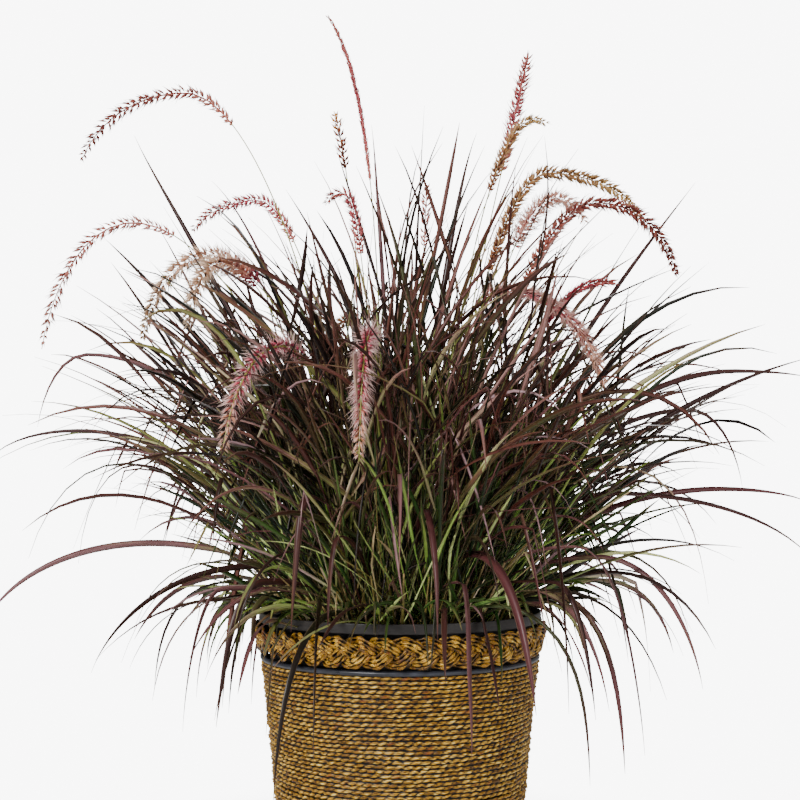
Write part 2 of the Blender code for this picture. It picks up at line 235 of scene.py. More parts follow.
class StudioSettings(bpy.types.PropertyGroup):
    """Lights of the studio."""

    key_power: FloatProperty(
        name="Key", description="Soft light, front left", default=145.0, unit="POWER")
    fill_power: FloatProperty(
        name="Fill", description="Soft light, front right", default=26.0, unit="POWER")
    surround: FloatProperty(
        name="Surround", description="Brightness of the white surround", default=0.36)


# ---------------------------------------------------------------- mesh tools
class Form:
    """Points, faces and marks gathered for one mesh. Marks are numbers on points that materials read."""

    def __init__(self):
        self.points = []
        self.faces = []
        self.marks = {}
        self.total = 0

    def add(self, points, faces, **marks):
        """Add points (n, 3), face arrays of point numbers, and a mark of n numbers for each name."""
        points = np.asarray(points, float).reshape(-1, 3)
        self.points.append(points)
        self.faces.extend(np.asarray(block) + self.total for block in faces)
        for name, values in marks.items():
            values = np.broadcast_to(np.asarray(values, float).reshape(-1), (len(points),))
            self.marks.setdefault(name, []).append(values)
        self.total += len(points)

    def mesh(self, name):
        """The gathered form as a smooth-shaded mesh."""
        made = bpy.data.meshes.new(name)
        points = np.concatenate(self.points)
        corners = np.concatenate([block.reshape(-1) for block in self.faces])
        counts = np.concatenate([np.full(len(block), block.shape[1]) for block in self.faces])
        made.vertices.add(len(points))
        made.vertices.foreach_set("co", points.astype(np.float32).reshape(-1))
        made.loops.add(len(corners))
        made.loops.foreach_set("vertex_index", corners.astype(np.int32))
        made.polygons.add(len(counts))
        starts = np.concatenate([[0], np.cumsum(counts)[:-1]]).astype(np.int32)
        made.polygons.foreach_set("loop_start", starts)
        made.polygons.foreach_set("use_smooth", np.ones(len(counts), bool))
        for mark, blocks in self.marks.items():
            layer = made.attributes.new(mark, "FLOAT", "POINT")
            layer.data.foreach_set("value", np.concatenate(blocks).astype(np.float32))
        made.update(calc_edges=True)
        made.validate()
        return made


def with_middle(colours, middle):
    """A row of five colours with its middle one changed."""
    return (*colours[:2], tuple(middle), *colours[3:])


def new_object(name, data):
    """An object with some data, or an empty for None, in the scene."""
    made = bpy.data.objects.new(name, data)
    bpy.context.scene.collection.objects.link(made)
    return made


def show_piece(name, form, material, slot, *nodes):
    """Make a visible piece from a form, finish it, and set it on the frame for its CAD nodes."""
    mesh = form.mesh(name)
    mesh.materials.append(material)
    piece = new_object(name, mesh)
    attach(piece, BODY)
    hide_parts(*nodes)


def unit(vectors):
    """Vectors brought to length one."""
    return vectors / (np.linalg.norm(vectors, axis=-1, keepdims=True) + 1e-12)


def once_round(steps):
    """Even angles, once round."""
    return np.linspace(0, 2 * math.pi, steps, endpoint=False)


def polar(radius, angle, height):
    """Points from radii, angles and heights that broadcast together."""
    return np.stack(np.broadcast_arrays(radius * np.cos(angle), radius * np.sin(angle), height), -1)


def swung(first, second, angle):
    """Directions swung from first towards second by each angle."""
    return np.cos(angle)[..., None] * first + np.sin(angle)[..., None] * second


def round_section(first, second, sides):
    """Directions all round a section, from the two that cross in it."""
    return swung(first[..., None, :], second[..., None, :], once_round(sides))


def frame_across(ahead, upright=0.9):
    """Two unit directions across each direction of travel. Past upright, x stands in for z."""
    helper = np.where(np.abs(ahead[..., 2:]) > upright, (1.0, 0.0, 0.0), (0.0, 0.0, 1.0))
    first = unit(np.cross(ahead, helper))
    return first, np.cross(ahead, first)


def ring_faces(rows, columns, loop=False):
    """Quads between rows of points that run round, facing out when rows go down. A loop joins the last."""
    row, column = np.meshgrid(np.arange(rows if loop else rows - 1), np.arange(columns), indexing="ij")
    here, below = row * columns, (row + 1) % rows * columns
    beside = (column + 1) % columns
    return np.stack([here + column, below + column, below + beside, here + beside], -1).reshape(-1, 4)


def turned_form(profile, steps, **marks):
    """A closed turned form. The profile is a closed loop of (radius, height), down its outer side."""
    profile = np.asarray(profile, float)
    points = polar(profile[:, :1], once_round(steps), profile[:, 1:])
    form = Form()
    form.add(points, [ring_faces(len(profile), steps, True)], **marks)
    return form


def tubes(form, paths, radii, sides, **marks):
    """Round tubes along paths (n, m, 3) with radii (n, m), closed at both ends."""
    side, other = frame_across(unit(np.gradient(paths, axis=1)), 0.97)
    section = round_section(side, -other, sides)
    add_columns(form, paths[:, :, None, :] + radii[:, :, None, None] * section, **marks)


def add_columns(form, points, **marks):
    """Closed columns from sections (n, m, k, 3), capped at each end. Marks are (n, m) or broadcast."""
    count, length, sides, _three = points.shape
    start = (np.arange(count) * length * sides)[:, None, None]
    row = start + (np.arange(length - 1) * sides)[None, :, None]
    here = np.arange(sides)
    beside = (here + 1) % sides
    quads = np.stack([row + here, row + beside, row + sides + beside, row + sides + here], -1)
    foot = start[:, :, 0] + here[::-1]
    head = start[:, :, 0] + (length - 1) * sides + here
    spread = {}
    for name, values in marks.items():
        values = np.asarray(values, float)
        if values.ndim == 2:
            values = values[:, :, None]
        spread[name] = np.broadcast_to(values, (count, length, sides))
    form.add(points, [quads.reshape(-1, 4), foot, head], **spread)


# ---------------------------------------------------------------- material tools
COLOUR_MIX = {"give": 2, "data_type": "RGBA"}


def rgba(colour):
    """A hex or linear colour as a node socket takes it."""
    return (*(linear(colour) if isinstance(colour, str) else colour), 1.0)


def add_node(tree, kind, values=None, stops=(), give=0, **settings):
    """Add a shader node with its properties, inputs (values or sockets) and ramp, and give an output."""
    made = tree.nodes.new("ShaderNode" + kind)
    for name, value in settings.items():
        setattr(made, name, value)
    for socket, value in (values or {}).items():
        if isinstance(value, bpy.types.NodeSocket):
            tree.links.new(value, made.inputs[socket])
        else:
            made.inputs[socket].default_value = value
    for _extra in stops[2:]:
        made.color_ramp.elements.new(0.5)
    for index, (place, colour) in enumerate(stops):
        made.color_ramp.elements[index].position = place
        made.color_ramp.elements[index].color = rgba(colour)
    return made.outputs[give] if len(made.outputs) else None


def read_marks(tree, *names):
    """The sockets that give a form's marks."""
    return [add_node(tree, "Attribute", give="Fac", attribute_name=name) for name in names]


def new_material(name):
    """An empty node material and its tree."""
    material = bpy.data.materials.new(name)
    material.use_nodes = True
    material.node_tree.nodes.clear()
    return material, material.node_tree


def finish_material(tree, colour, roughness, ior, relief=None, strength=0.0, depth=0.0):
    """End a material in a Principled shader, its relief raised by a depth in mm."""
    values = {"Base Color": colour, "Roughness": roughness, "IOR": ior}
    if relief is not None:
        values["Normal"] = add_node(
            tree, "Bump", {"Height": relief, "Strength": strength, "Distance": depth * MM})
    shader = add_node(tree, "BsdfPrincipled", values)
    add_node(tree, "OutputMaterial", {"Surface": shader})


# ---------------------------------------------------------------- materials
def seagrass_material(name, straw, age):
    """Dried seagrass twisted into cord: waxy golden leaf strips, some rust red, and painted near-black shade
    between the strands.

    age moves the strips towards the brown end.
    """
    material, tree = new_material(name)
    lay_along, lay_across, tone, depth = read_marks(tree, "lay_along", "lay_across", "tone", "depth")
    # Strips run along the cord, so the grain is long that way: about 7 mm by 1 mm.
    lay = add_node(tree, "CombineXYZ", {"X": lay_along, "Y": lay_across, "Z": tone})
    fine = add_node(tree, "VectorMath", {0: lay, 1: (150.0, 900.0, 60.0)}, operation="MULTIPLY")
    grain = add_node(tree, "TexNoise", {"Vector": fine, "Scale": 1.0, "Detail": 3.0})
    aged = add_node(tree, "Math", {0: grain, 1: 1.3, 2: -0.23 - age}, operation="MULTIPLY_ADD")
    place = add_node(tree, "Math", {0: tone, 1: 0.22, 2: aged}, operation="MULTIPLY_ADD")
    strips = add_node(
        tree, "ValToRGB", {"Fac": place},
        ((0.22, "#180c02"), (0.38, "#5e3e0a"), (0.52, "#987218"), (0.66, "#e4b430"), (0.82, "#fff29c")))
    tint = add_node(
        tree, "Mix", {0: 0.35, 6: strips, 7: rgba(straw)}, blend_type="MULTIPLY", **COLOUR_MIX)
    patches = add_node(tree, "TexNoise", {"Vector": lay, "Scale": 26.0, "Detail": 2.0})
    rust = add_node(tree, "MapRange", {"Value": patches, 1: 0.58, 2: 0.68, 3: 0.0, 4: 0.6})
    rusty = add_node(tree, "Mix", {0: rust, 6: tint, 7: rgba("#7a2c10")}, **COLOUR_MIX)
    # Painted shade: where the depth mark is low, the colour is mixed towards near black, because little light
    # gets down between the strands.
    lift = add_node(tree, "MapRange", {"Value": depth, 1: 0.30, 2: 0.80, 3: 0.0, 4: 1.0})
    shaded = add_node(tree, "Mix", {0: lift, 6: rgba("#040200"), 7: rusty}, **COLOUR_MIX)
    # The waxy skin shines along the pale strips and is dull on the brown.
    rough = add_node(tree, "MapRange", {"Value": grain, 1: 0.3, 2: 0.7, 3: 0.30, 4: 0.55})
    finish_material(tree, shaded, rough, 1.38, grain, 0.6, 0.4)
    return material


def painted_steel_material(colour):
    """Steel wire in baked dark paint: smooth and slightly glossy, rubbed and dusty in patches."""
    material, tree = new_material("painted steel wire")
    place = add_node(tree, "TexCoord", give="Object")
    wear = add_node(tree, "TexNoise", {"Vector": place, "Scale": 60.0, "Detail": 4.0})
    dust = add_node(tree, "MapRange", {"Value": wear, 1: 0.5, 2: 0.75, 3: 0.0, 4: 0.6})
    paint = add_node(tree, "Mix", {0: dust, 6: rgba(colour), 7: rgba("#484c58")}, **COLOUR_MIX)
    rough = add_node(tree, "MapRange", {"Value": wear, 1: 0.3, 2: 0.7, 3: 0.25, 4: 0.5})
    finish_material(tree, paint, rough, 1.5, wear, 0.2, 0.2)
    return material


def pot_plastic_material(colour):
    """Blow-moulded recycled polypropylene: warm dark grey, satin, with dust and faint scuffs."""
    material, tree = new_material("moulded polypropylene")
    place = add_node(tree, "TexCoord", give="Object")
    dust = add_node(tree, "TexNoise", {"Vector": place, "Scale": 22.0, "Detail": 6.0})
    # Scuffs run round the pot, as it is slid in and out of others.
    around = add_node(tree, "Mapping", {"Vector": place, "Scale": (30.0, 30.0, 700.0)})
    scuffs = add_node(tree, "TexNoise", {"Vector": around, "Scale": 1.0, "Detail": 2.0})
    amount = add_node(tree, "Math", {0: dust, 1: scuffs}, operation="MULTIPLY")
    mask = add_node(tree, "MapRange", {"Value": amount, 1: 0.2, 2: 0.45, 3: 0.0, 4: 0.4})
    shade = add_node(tree, "Mix", {0: mask, 6: rgba(colour), 7: rgba("#332b26")}, **COLOUR_MIX)
    rough = add_node(tree, "MapRange", {"Value": dust, 1: 0.3, 2: 0.7, 3: 0.38, 4: 0.62})
    finish_material(tree, shade, rough, 1.49, scuffs, 0.15, 0.2)
    return material


def compost_material():
    """Composted bark: dull, crumbly and nearly black when damp, with paler chips."""
    material, tree = new_material("bark compost")
    place = add_node(tree, "TexCoord", give="Object")
    crumbs = add_node(tree, "TexNoise", {"Vector": place, "Scale": 240.0, "Detail": 5.0})
    tone, = read_marks(tree, "tone")
    level = add_node(tree, "Math", {0: tone, 1: 0.5, 2: crumbs}, operation="MULTIPLY_ADD")
    shade = add_node(
        tree, "ValToRGB", {"Fac": level},
        ((0.3, "#120b07"), (0.55, "#2b1a10"), (0.8, "#4a3020"), (1.0, "#7a5a3c")))
    finish_material(tree, shade, 0.92, 1.4, crumbs, 0.8, 1.0)
    return material


def leaf_material(name, young, grown, dry):
    """Living grass leaf: thin waxy blade, veined lengthwise, green at the base and wine purple beyond.

    young and grown are colours from the darkest leaf to the palest, and dry is a dead tip's colour.
    """
    material, tree = new_material(name)
    along, across, tone, ripe = read_marks(tree, "along", "across", "tone", "ripe")
    # Veins are about 0.8 mm apart, twice the real spacing, so that they show.
    spot = add_node(tree, "CombineXYZ", {"X": along, "Y": across, "Z": tone})
    vein_place = add_node(tree, "VectorMath", {0: spot, 1: (5.0, 4.5, 400.0)}, operation="MULTIPLY")
    veins = add_node(tree, "TexNoise", {"Vector": vein_place, "Scale": 1.0, "Detail": 3.0})
    mottle_place = add_node(tree, "VectorMath", {0: spot, 1: (7.0, 0.8, 250.0)}, operation="MULTIPLY")
    mottle = add_node(tree, "TexNoise", {"Vector": mottle_place, "Scale": 1.0, "Detail": 2.0})
    wobble = add_node(tree, "Math", {0: mottle, 1: 0.9, 2: -0.45}, operation="MULTIPLY_ADD")
    ripeness = add_node(tree, "Math", {0: ripe, 1: wobble}, operation="ADD", use_clamp=True)
    vein_shade = add_node(tree, "Math", {0: veins, 1: 0.5, 2: -0.25}, operation="MULTIPLY_ADD")
    level = add_node(tree, "Math", {0: tone, 1: vein_shade}, operation="ADD")
    young_shade, grown_shade = (
        add_node(tree, "ValToRGB", {"Fac": level}, tuple(zip((0.1, 0.4, 0.65, 0.85, 1.0), shades)))
        for shades in (young, grown))
    body = add_node(tree, "Mix", {0: ripeness, 6: young_shade, 7: grown_shade}, **COLOUR_MIX)
    # The margins are paler and drier than the blade.
    off_middle = add_node(tree, "Math", {0: across}, operation="ABSOLUTE")
    margin = add_node(tree, "MapRange", {"Value": off_middle, 1: 0.80, 2: 0.95, 3: 0.0, 4: 0.3})
    edged = add_node(tree, "Mix", {0: margin, 6: body, 7: rgba("#9c8468")}, **COLOUR_MIX)
    tip = add_node(tree, "Math", {0: along, 1: mottle}, operation="MULTIPLY")
    tip_share = add_node(tree, "MapRange", {"Value": tip, 1: 0.46, 2: 0.64, 3: 0.0, 4: 0.6})
    ended = add_node(tree, "Mix", {0: tip_share, 6: edged, 7: rgba(dry)}, **COLOUR_MIX)
    rough = add_node(tree, "MapRange", {"Value": veins, 1: 0.3, 2: 0.7, 3: 0.32, 4: 0.5})
    finish_material(tree, ended, rough, 1.36, veins, 0.35, 0.3)
    return material


def flower_material(look):
    """Grass flower head: papery purple-red spikelets among hair-fine bristles, paler towards its tip."""
    base, middle, tip, bristle = FLOWER_LOOKS[look]
    material, tree = new_material(look + " flower head")
    along, hair, tone = read_marks(tree, "along", "hair", "tone")
    # Each spikelet has a tone of its own, so a head is speckled.
    speckle = add_node(tree, "TexWhiteNoise", {"W": tone}, give="Value", noise_dimensions="1D")
    place = add_node(tree, "Math", {0: speckle, 1: 0.24, 2: along}, operation="MULTIPLY_ADD")
    grains = add_node(
        tree, "ValToRGB", {"Fac": place}, ((0.20, base), (0.46, middle), (0.74, middle), (1.0, tip)))
    value = add_node(tree, "MapRange", {"Value": speckle, 1: 0.0, 2: 1.0, 3: 0.6, 4: 1.4})
    varied = add_node(tree, "VectorMath", {0: grains, "Scale": value}, operation="SCALE")
    whole = add_node(tree, "Mix", {0: hair, 6: varied, 7: rgba(bristle)}, **COLOUR_MIX)
    rough = add_node(tree, "MapRange", {"Value": speckle, 1: 0.0, 2: 1.0, 3: 0.5, 4: 0.7})
    finish_material(tree, whole, rough, 1.4)
    return material


def studio_white_material():
    """Matt white studio paper, soft-shadowed under the pot and lit to clean white away from it."""
    material, tree = new_material("white studio paper")
    place = add_node(tree, "TexCoord", give="Object")
    pulp = add_node(tree, "TexNoise", {"Vector": place, "Scale": 3.0})
    shade = add_node(tree, "ValToRGB", {"Fac": pulp}, ((0.3, "#f4f4f4"), (0.7, "#fafafa")))
    reach = add_node(tree, "VectorMath", {0: place}, give="Value", operation="LENGTH")
    away = add_node(
        tree, "MapRange", {"Value": reach, 1: 0.16, 2: 0.62, 3: 0.0, 4: 1.0},
        interpolation_type="SMOOTHSTEP")
    seen = add_node(tree, "LightPath", give="Is Camera Ray")
    share = add_node(tree, "Math", {0: away, 1: seen}, operation="MULTIPLY")
    paper = add_node(tree, "BsdfDiffuse", {"Color": shade})
    lit = add_node(tree, "Emission", {"Color": WHITE, "Strength": BACKDROP_WHITE})
    whole = add_node(tree, "MixShader", {0: share, 1: paper, 2: lit})
    add_node(tree, "OutputMaterial", {"Surface": whole})
    return material


# ---------------------------------------------------------------- basket forms
ROWS_TO_TURN = 4
WALL_COLUMNS = 640
WALL_KNOTS = 240
PLAIT_CORDS = 4
PLAIT_CORD_RADIUS = 2.0 * MM
PLAIT_CORD_SPACING = 4.3 * MM
PLAIT_SWING = 11.4 * MM
PLAIT_WEAVE = 3.4 * MM
PLAIT_LAY = 11.0 * MM
POT_WALL = 2.0 * MM
STRAY_FIBRES = 420


def ring_radius(node, height):
    """Greatest radius of a CAD node's points near a height."""
    points = np.array([vertex.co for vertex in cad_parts[node].data.vertices])
    near = points[np.abs(points[:, 2] - height) < 0.001]
    return float(np.hypot(near[:, 0], near[:, 1]).max())


def wall_ends():
    """Heights of the wall's bottom and top, then its radii there."""
    low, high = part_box("basket_wall")
    return low.z, high.z, ring_radius("basket_wall", low.z), ring_radius("basket_wall", high.z)


def knotted(values, angle):
    """Values at even knots round the wall, blended at each angle."""
    knot = angle / (2 * math.pi) * WALL_KNOTS
    left, blend = np.floor(knot).astype(int), knot % 1
    return values[..., left] * (1 - blend) + values[..., (left + 1) % WALL_KNOTS] * blend


def wound_wall_form(first, last, turns, settings):
    """Turns of twisted rope wound into a wall, from turn first up to turn last, with a plain inside."""
    bottom, top, bottom_radius, top_radius = wall_ends()
    pitch = (top - bottom) / turns
    rng = np.random.default_rng(WALL_SEED)
    phase = rng.uniform(0, 1, turns + 1)
    slack = rng.normal(0, 0.35 * MM, turns + 1)
    tones = 1 - 0.95 * rng.uniform(0, 1, (turns + 1, 400)) ** 2.2
    sizes = rng.normal(0, 1, (turns + 1, 400))
    angle = once_round(WALL_COLUMNS)
    in_out, up_down = knotted(rng.normal(0, 1, (2, turns + 1, WALL_KNOTS)), angle)
    # Rows run down the wall, and rise is how far up its turn of rope each one is.
    rows = np.arange(last * ROWS_TO_TURN, first * ROWS_TO_TURN - 1, -1)[:, None]
    turn, rise = rows / ROWS_TO_TURN, rows % ROWS_TO_TURN / ROWS_TO_TURN
    index = np.minimum(rows // ROWS_TO_TURN, turns - 1)
    # The rope is a row of lumps, one for each crossing of its two strands.
    lumps = np.round(2 * math.pi * np.linspace(bottom_radius, top_radius, turns) / settings.rope_lay)[index]
    stretch = 0.6 * np.sin(3 * angle + 9 * phase[index])
    twist = angle / (2 * math.pi) * lumps - 0.8 * rise + phase[index] + stretch
    strand = np.abs(np.cos(math.pi * twist))
    number = np.mod(np.floor(twist + 0.5), lumps).astype(int)
    bulge = np.sin(math.pi * rise) ** 0.6
    swell = bulge * (0.42 + 0.58 * strand ** 0.6) * (1.0 + 0.14 * sizes[index, number])
    # No turn lies quite true: each is slack in places, and the courses sway up and down together.
    reach = bottom_radius + (top_radius - bottom_radius) * turn / turns
    loose = slack[index] + 0.45 * MM * np.sin(angle * 3 + 7 * phase[index]) + 0.5 * MM * in_out[index[:, 0]]
    radius = reach - pitch / 2 * 1.5 + pitch / 2 * 1.6 * swell + loose * bulge
    sway = 0.9 * MM * np.sin(2 * angle + 0.21 * turn) + 0.6 * MM * np.sin(5 * angle - 0.37 * turn)
    inward = np.minimum(1, np.minimum(turn, turns - turn) / 3)
    height = bottom + turn * pitch + (sway + 0.5 * MM * up_down[index[:, 0]] * bulge) * inward
    back_height = np.array([[height[-1].mean()], [height[0].mean()]])
    back = polar(reach[[-1, 0]] - 7.5 * MM, angle, back_height)
    points = np.concatenate([polar(radius, angle, height), back])
    # The depth mark carries painted shade. It is low in the valleys between turns and in the gaps between lumps,
    # and there the material paints the rope near black.
    marks = {
        "depth": bulge * (0.12 + 0.88 * strand ** 0.7),
        "tone": tones[index, number],
        "lay_along": angle * reach - 0.006 * rise,
        "lay_across": height,
    }
    # The plain inside rings get a depth of 0, so the whole inside is painted in that near-black shade.
    plain = np.zeros((2, WALL_COLUMNS))
    marks = {name: np.concatenate([values, plain]) for name, values in marks.items()}
    form = Form()
    form.add(points, [ring_faces(len(points), WALL_COLUMNS, True)], **marks)
    return form


def stray_fibres_form(count, rng):
    """Loose ends of seagrass that stand off the wall."""
    _bottom, top, bottom_radius, top_radius = wall_ends()
    height = rng.uniform(0.01, top - 0.01, count)
    angle = rng.uniform(0, 2 * math.pi, count)
    length = rng.uniform(4, 16, count) * MM
    lift = rng.uniform(0.3, 2.5, count) * MM
    slant = rng.uniform(-0.5, 0.8, count)
    steps = np.linspace(0, 1, 5)[None, :]
    radius = bottom_radius + (top_radius - bottom_radius) * height / top
    around = angle[:, None] + steps * (length * np.cos(slant) / radius)[:, None]
    out = radius[:, None] + 0.2 * MM + lift[:, None] * np.sin(steps * 2.4)
    up = height[:, None] + steps * (length * np.sin(slant))[:, None]
    radii = np.repeat(0.22 * MM * (1 - 0.8 * steps), count, axis=0)
    form = Form()
    tubes(form, polar(out, around, up), radii, 3, depth=1.0, tone=rng.uniform(0.4, 1, (count, 1)),
          lay_along=length[:, None] * steps, lay_across=height[:, None])
    return form


def plaited_rim_form(repeats, rng):
    """Three strands plaited flat, each a bundle of twisted seagrass cords, leaning out round the mouth."""
    low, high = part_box("braided_rim")
    top_radius, bottom_radius = high.x - 6.5 * MM, ring_radius("braided_rim", low.z) - 4.5 * MM
    middle = np.array([(top_radius + bottom_radius) / 2, (low.z + high.z) / 2])
    up = unit(np.array([top_radius - bottom_radius, high.z - low.z]))
    out = np.array([up[1], -up[0]])
    around = np.linspace(0, 2 * math.pi, repeats * 36 + 1)
    length = around * middle[0]
    form = Form()
    for strand in range(3):
        turn = repeats * around + strand * 2 * math.pi / 3
        step_across = PLAIT_SWING * repeats * np.cos(turn)
        slope = np.hypot(step_across, middle[0])
        for cord in range(PLAIT_CORDS):
            place = cord - (PLAIT_CORDS - 1) / 2
            offset = place * PLAIT_CORD_SPACING
            crown = 0.9 * MM * (1 - (2 * place / (PLAIT_CORDS - 1)) ** 2) + rng.normal(0, 0.35) * MM
            wobble = 0.5 * MM * np.sin(7 * around * repeats / 3 + rng.uniform(0, 6))
            side = PLAIT_SWING * np.sin(turn) + offset * middle[0] / slope
            outward = crown + wobble - PLAIT_WEAVE * np.sin(2 * turn)
            across = middle[:, None] + up[:, None] * side + out[:, None] * outward
            path = polar(across[0], around - offset * step_across / slope / middle[0], across[1])
            lumps = 2 * math.pi * length / PLAIT_LAY + rng.uniform(0, 6)
            thick = 1 + 0.26 * np.sin(lumps) + 0.05 * rng.normal(size=len(around))
            ringed_tube(form, path[:-1], PLAIT_CORD_RADIUS, thick[:-1], 7, length[:-1], rng)
    return form


def ringed_tube(form, path, radius, swell, sides, length, rng):
    """A tube whose end meets its start, swelling along its length, with the marks that seagrass needs."""
    rows = len(path)
    ahead = unit(np.roll(path, -1, axis=0) - np.roll(path, 1, axis=0))
    side = unit(np.cross(ahead, unit(path * (1.0, 1.0, 0.0))))
    section = round_section(side, np.cross(side, ahead), sides)
    angle = once_round(sides)
    steps = np.cumsum(rng.normal(0, 0.12, rows))
    tone = 0.55 + 0.45 * np.sin(steps * 2.2 + rng.uniform(0, 6))
    # The depth mark is painted light and shade. It is high on the side of each cord that faces out from the
    # basket, and low on the side that faces in and where the cord thins. The material paints the low places near
    # black.
    form.add(
        path[:, None, :] + radius * swell[:, None, None] * section,
        [ring_faces(rows, sides, True)[:, [0, 3, 2, 1]]],
        depth=np.clip(0.1 + 0.85 * np.sin(angle) + 1.6 * (swell[:, None] - 1), 0, 1),
        tone=np.repeat(tone, sides), lay_along=np.repeat(length, sides),
        lay_across=np.tile(angle * radius, rows))


def base_coil_form(rope_pitch, rng):
    """The same rope coiled flat for the underside."""
    low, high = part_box("basket_base")
    turns = int(high.x / rope_pitch)
    rows = np.arange(turns * ROWS_TO_TURN + 1)
    rise = rows % ROWS_TO_TURN / ROWS_TO_TURN
    radius = 0.5 * MM + rows / (turns * ROWS_TO_TURN) * (high.x - 0.7 * MM)
    lower = low.z + 1.2 * MM - 1.2 * MM * np.sin(math.pi * rise) ** 0.6
    upper = [(0.5 * MM, high.z), (high.x - 0.2 * MM, high.z)]
    form = turned_form(list(zip(radius[::-1], lower[::-1])) + upper, 160)
    x, y, z = form.points[0].T
    # The depth mark is painted shade. It falls from 1 at the lowest points of the coil to 0 at 1.4 mm above
    # them, so the grooves between turns are painted dark and the flat top is painted near black.
    form.marks = {
        "depth": [np.clip(1 - (z - low.z) / (1.4 * MM), 0, 1)],
        "tone": [rng.uniform(0.2, 0.9, form.total)],
        "lay_along": [np.arctan2(y, x) * np.hypot(x, y)],
        "lay_across": [np.hypot(x, y)],
    }
    return form


def hoop_form():
    """The round wire of the hoop."""
    low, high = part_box("metal_hoop")
    half = (high.z - low.z) / 2
    wire = half + 0.8 * MM
    angle = -once_round(16)
    profile = np.stack([high.x - half + wire * np.cos(angle), low.z + half + wire * np.sin(angle)], -1)
    return turned_form(profile, 200)


def rounded(profile, radius, steps=4):
    """A closed profile with each corner rounded by an arc of about that radius."""
    profile = np.array(profile, float)
    made = []
    for index, corner in enumerate(profile):
        start, end = (
            corner + unit(other - corner) * min(radius, 0.45 * np.linalg.norm(other - corner))
            for other in (profile[index - 1], profile[(index + 1) % len(profile)]))
        for t in np.linspace(0, 1, steps + 1):
            made.append((1 - t) ** 2 * start + 2 * t * (1 - t) * corner + t * t * end)
    return np.array(made)


def grow_pot_form():
    """The pot's wall and its turned-out lip with soft moulded edges, over the braid."""
    low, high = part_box("grow_pot")
    rim_low, rim_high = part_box("braided_rim")
    lip, top, shoulder = high.x, high.z - 4 * MM, rim_high.z - 0.8 * MM
    neck_height = rim_low.z - 6 * MM
    neck, foot = ring_radius("grow_pot", neck_height), ring_radius("grow_pot", low.z)
    outer = [
        (lip - 0.5 * MM, top), (lip, shoulder + 0.8 * MM), (neck + 2.5 * MM, shoulder),
        (neck, neck_height), (foot, low.z), (0.5 * MM, low.z)]
    inner = [
        (0.5 * MM, low.z + POT_WALL), (foot - POT_WALL, low.z + POT_WALL), (neck - POT_WALL, neck_height),
        (neck, shoulder + POT_WALL), (lip - 2.5 * MM, shoulder + POT_WALL + 1 * MM), (lip - 2.5 * MM, top)]
    return turned_form(rounded(outer + inner, 1.0 * MM), 160)


def compost_form(rng):
    """The root ball with a crumbled top and loose bark chips on it."""
    low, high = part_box("potting_soil")
    top, neck = high.z - 1.5 * MM, high.x - 1.0 * MM
    foot = ring_radius("potting_soil", low.z) - 1.0 * MM
    radii = (0.5 * MM, *np.linspace(8 * MM, neck, 20))
    under = [(foot, low.z + 1 * MM), (0.5 * MM, low.z + 1 * MM)]
    form = turned_form([(radius, top) for radius in radii] + under, 120, tone=0.3)
    points = form.points[0]
    crumbs = np.clip(rng.normal(0, 1.1 * MM, len(points)), -2 * MM, 1.4 * MM)
    points[:, 2] += np.where(points[:, 2] > top - 1e-6, crumbs, 0)
    chips = 260
    reach = np.sqrt(rng.uniform(0.02, 0.94, chips)) * neck
    around = rng.uniform(0, 2 * math.pi, chips)
    cube = np.array([[x, y, z] for x in (-1, 1) for y in (-1, 1) for z in (-1, 1)], float)
    sides = np.array([[0, 1, 3, 2], [4, 6, 7, 5], [0, 4, 5, 1], [2, 3, 7, 6], [0, 2, 6, 4], [1, 5, 7, 3]])
    for place in polar(reach, around, top + 1.0 * MM):
        size = rng.uniform(2.0, 6.0, 3) * MM * (1.4, 0.8, 0.35)
        corners = (cube + rng.uniform(-0.3, 0.3, (8, 3))) * size / 2
        spin = rng.uniform(0, 2 * math.pi)
        cos, sin = math.cos(spin), math.sin(spin)
        turn = np.array([[cos, -sin, 0], [sin, cos, 0], [0, 0, 1]])
        form.add(corners @ turn.T + place, [sides], tone=rng.uniform(0, 1.1))
    return form


# ---------------------------------------------------------------- grass forms
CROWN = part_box("grass_crown")[1]
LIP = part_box("grow_pot")[1]
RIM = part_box("braided_rim")[1]
CLUMP_LEAF_STEPS = 18
LONG_LEAF_STEPS = 36
LONG_LEAF_STEM = 0.25
DOWN = np.array([0.0, 0.0, -1.0])
STALK_STEPS = 64
HEAD_STEPS = 160
# A head wider than this has long soft bristles, in mm.
FLUFFY_REACH = 13
# Spikelets and bristles that lie closer to the axis than this, in radians, get no longer.
LEAST_TILT = 0.55


def bezier(a, b, c, d, t):
    """Points at t (m,) on the cubic with end points a and d and handles b and c."""
    a, b, c, d = (np.array(point, float)[None, :] for point in (a, b, c, d))
    t = t[:, None]
    return (1 - t) ** 3 * a + 3 * (1 - t) ** 2 * t * b + 3 * (1 - t) * t * t * c + t ** 3 * d


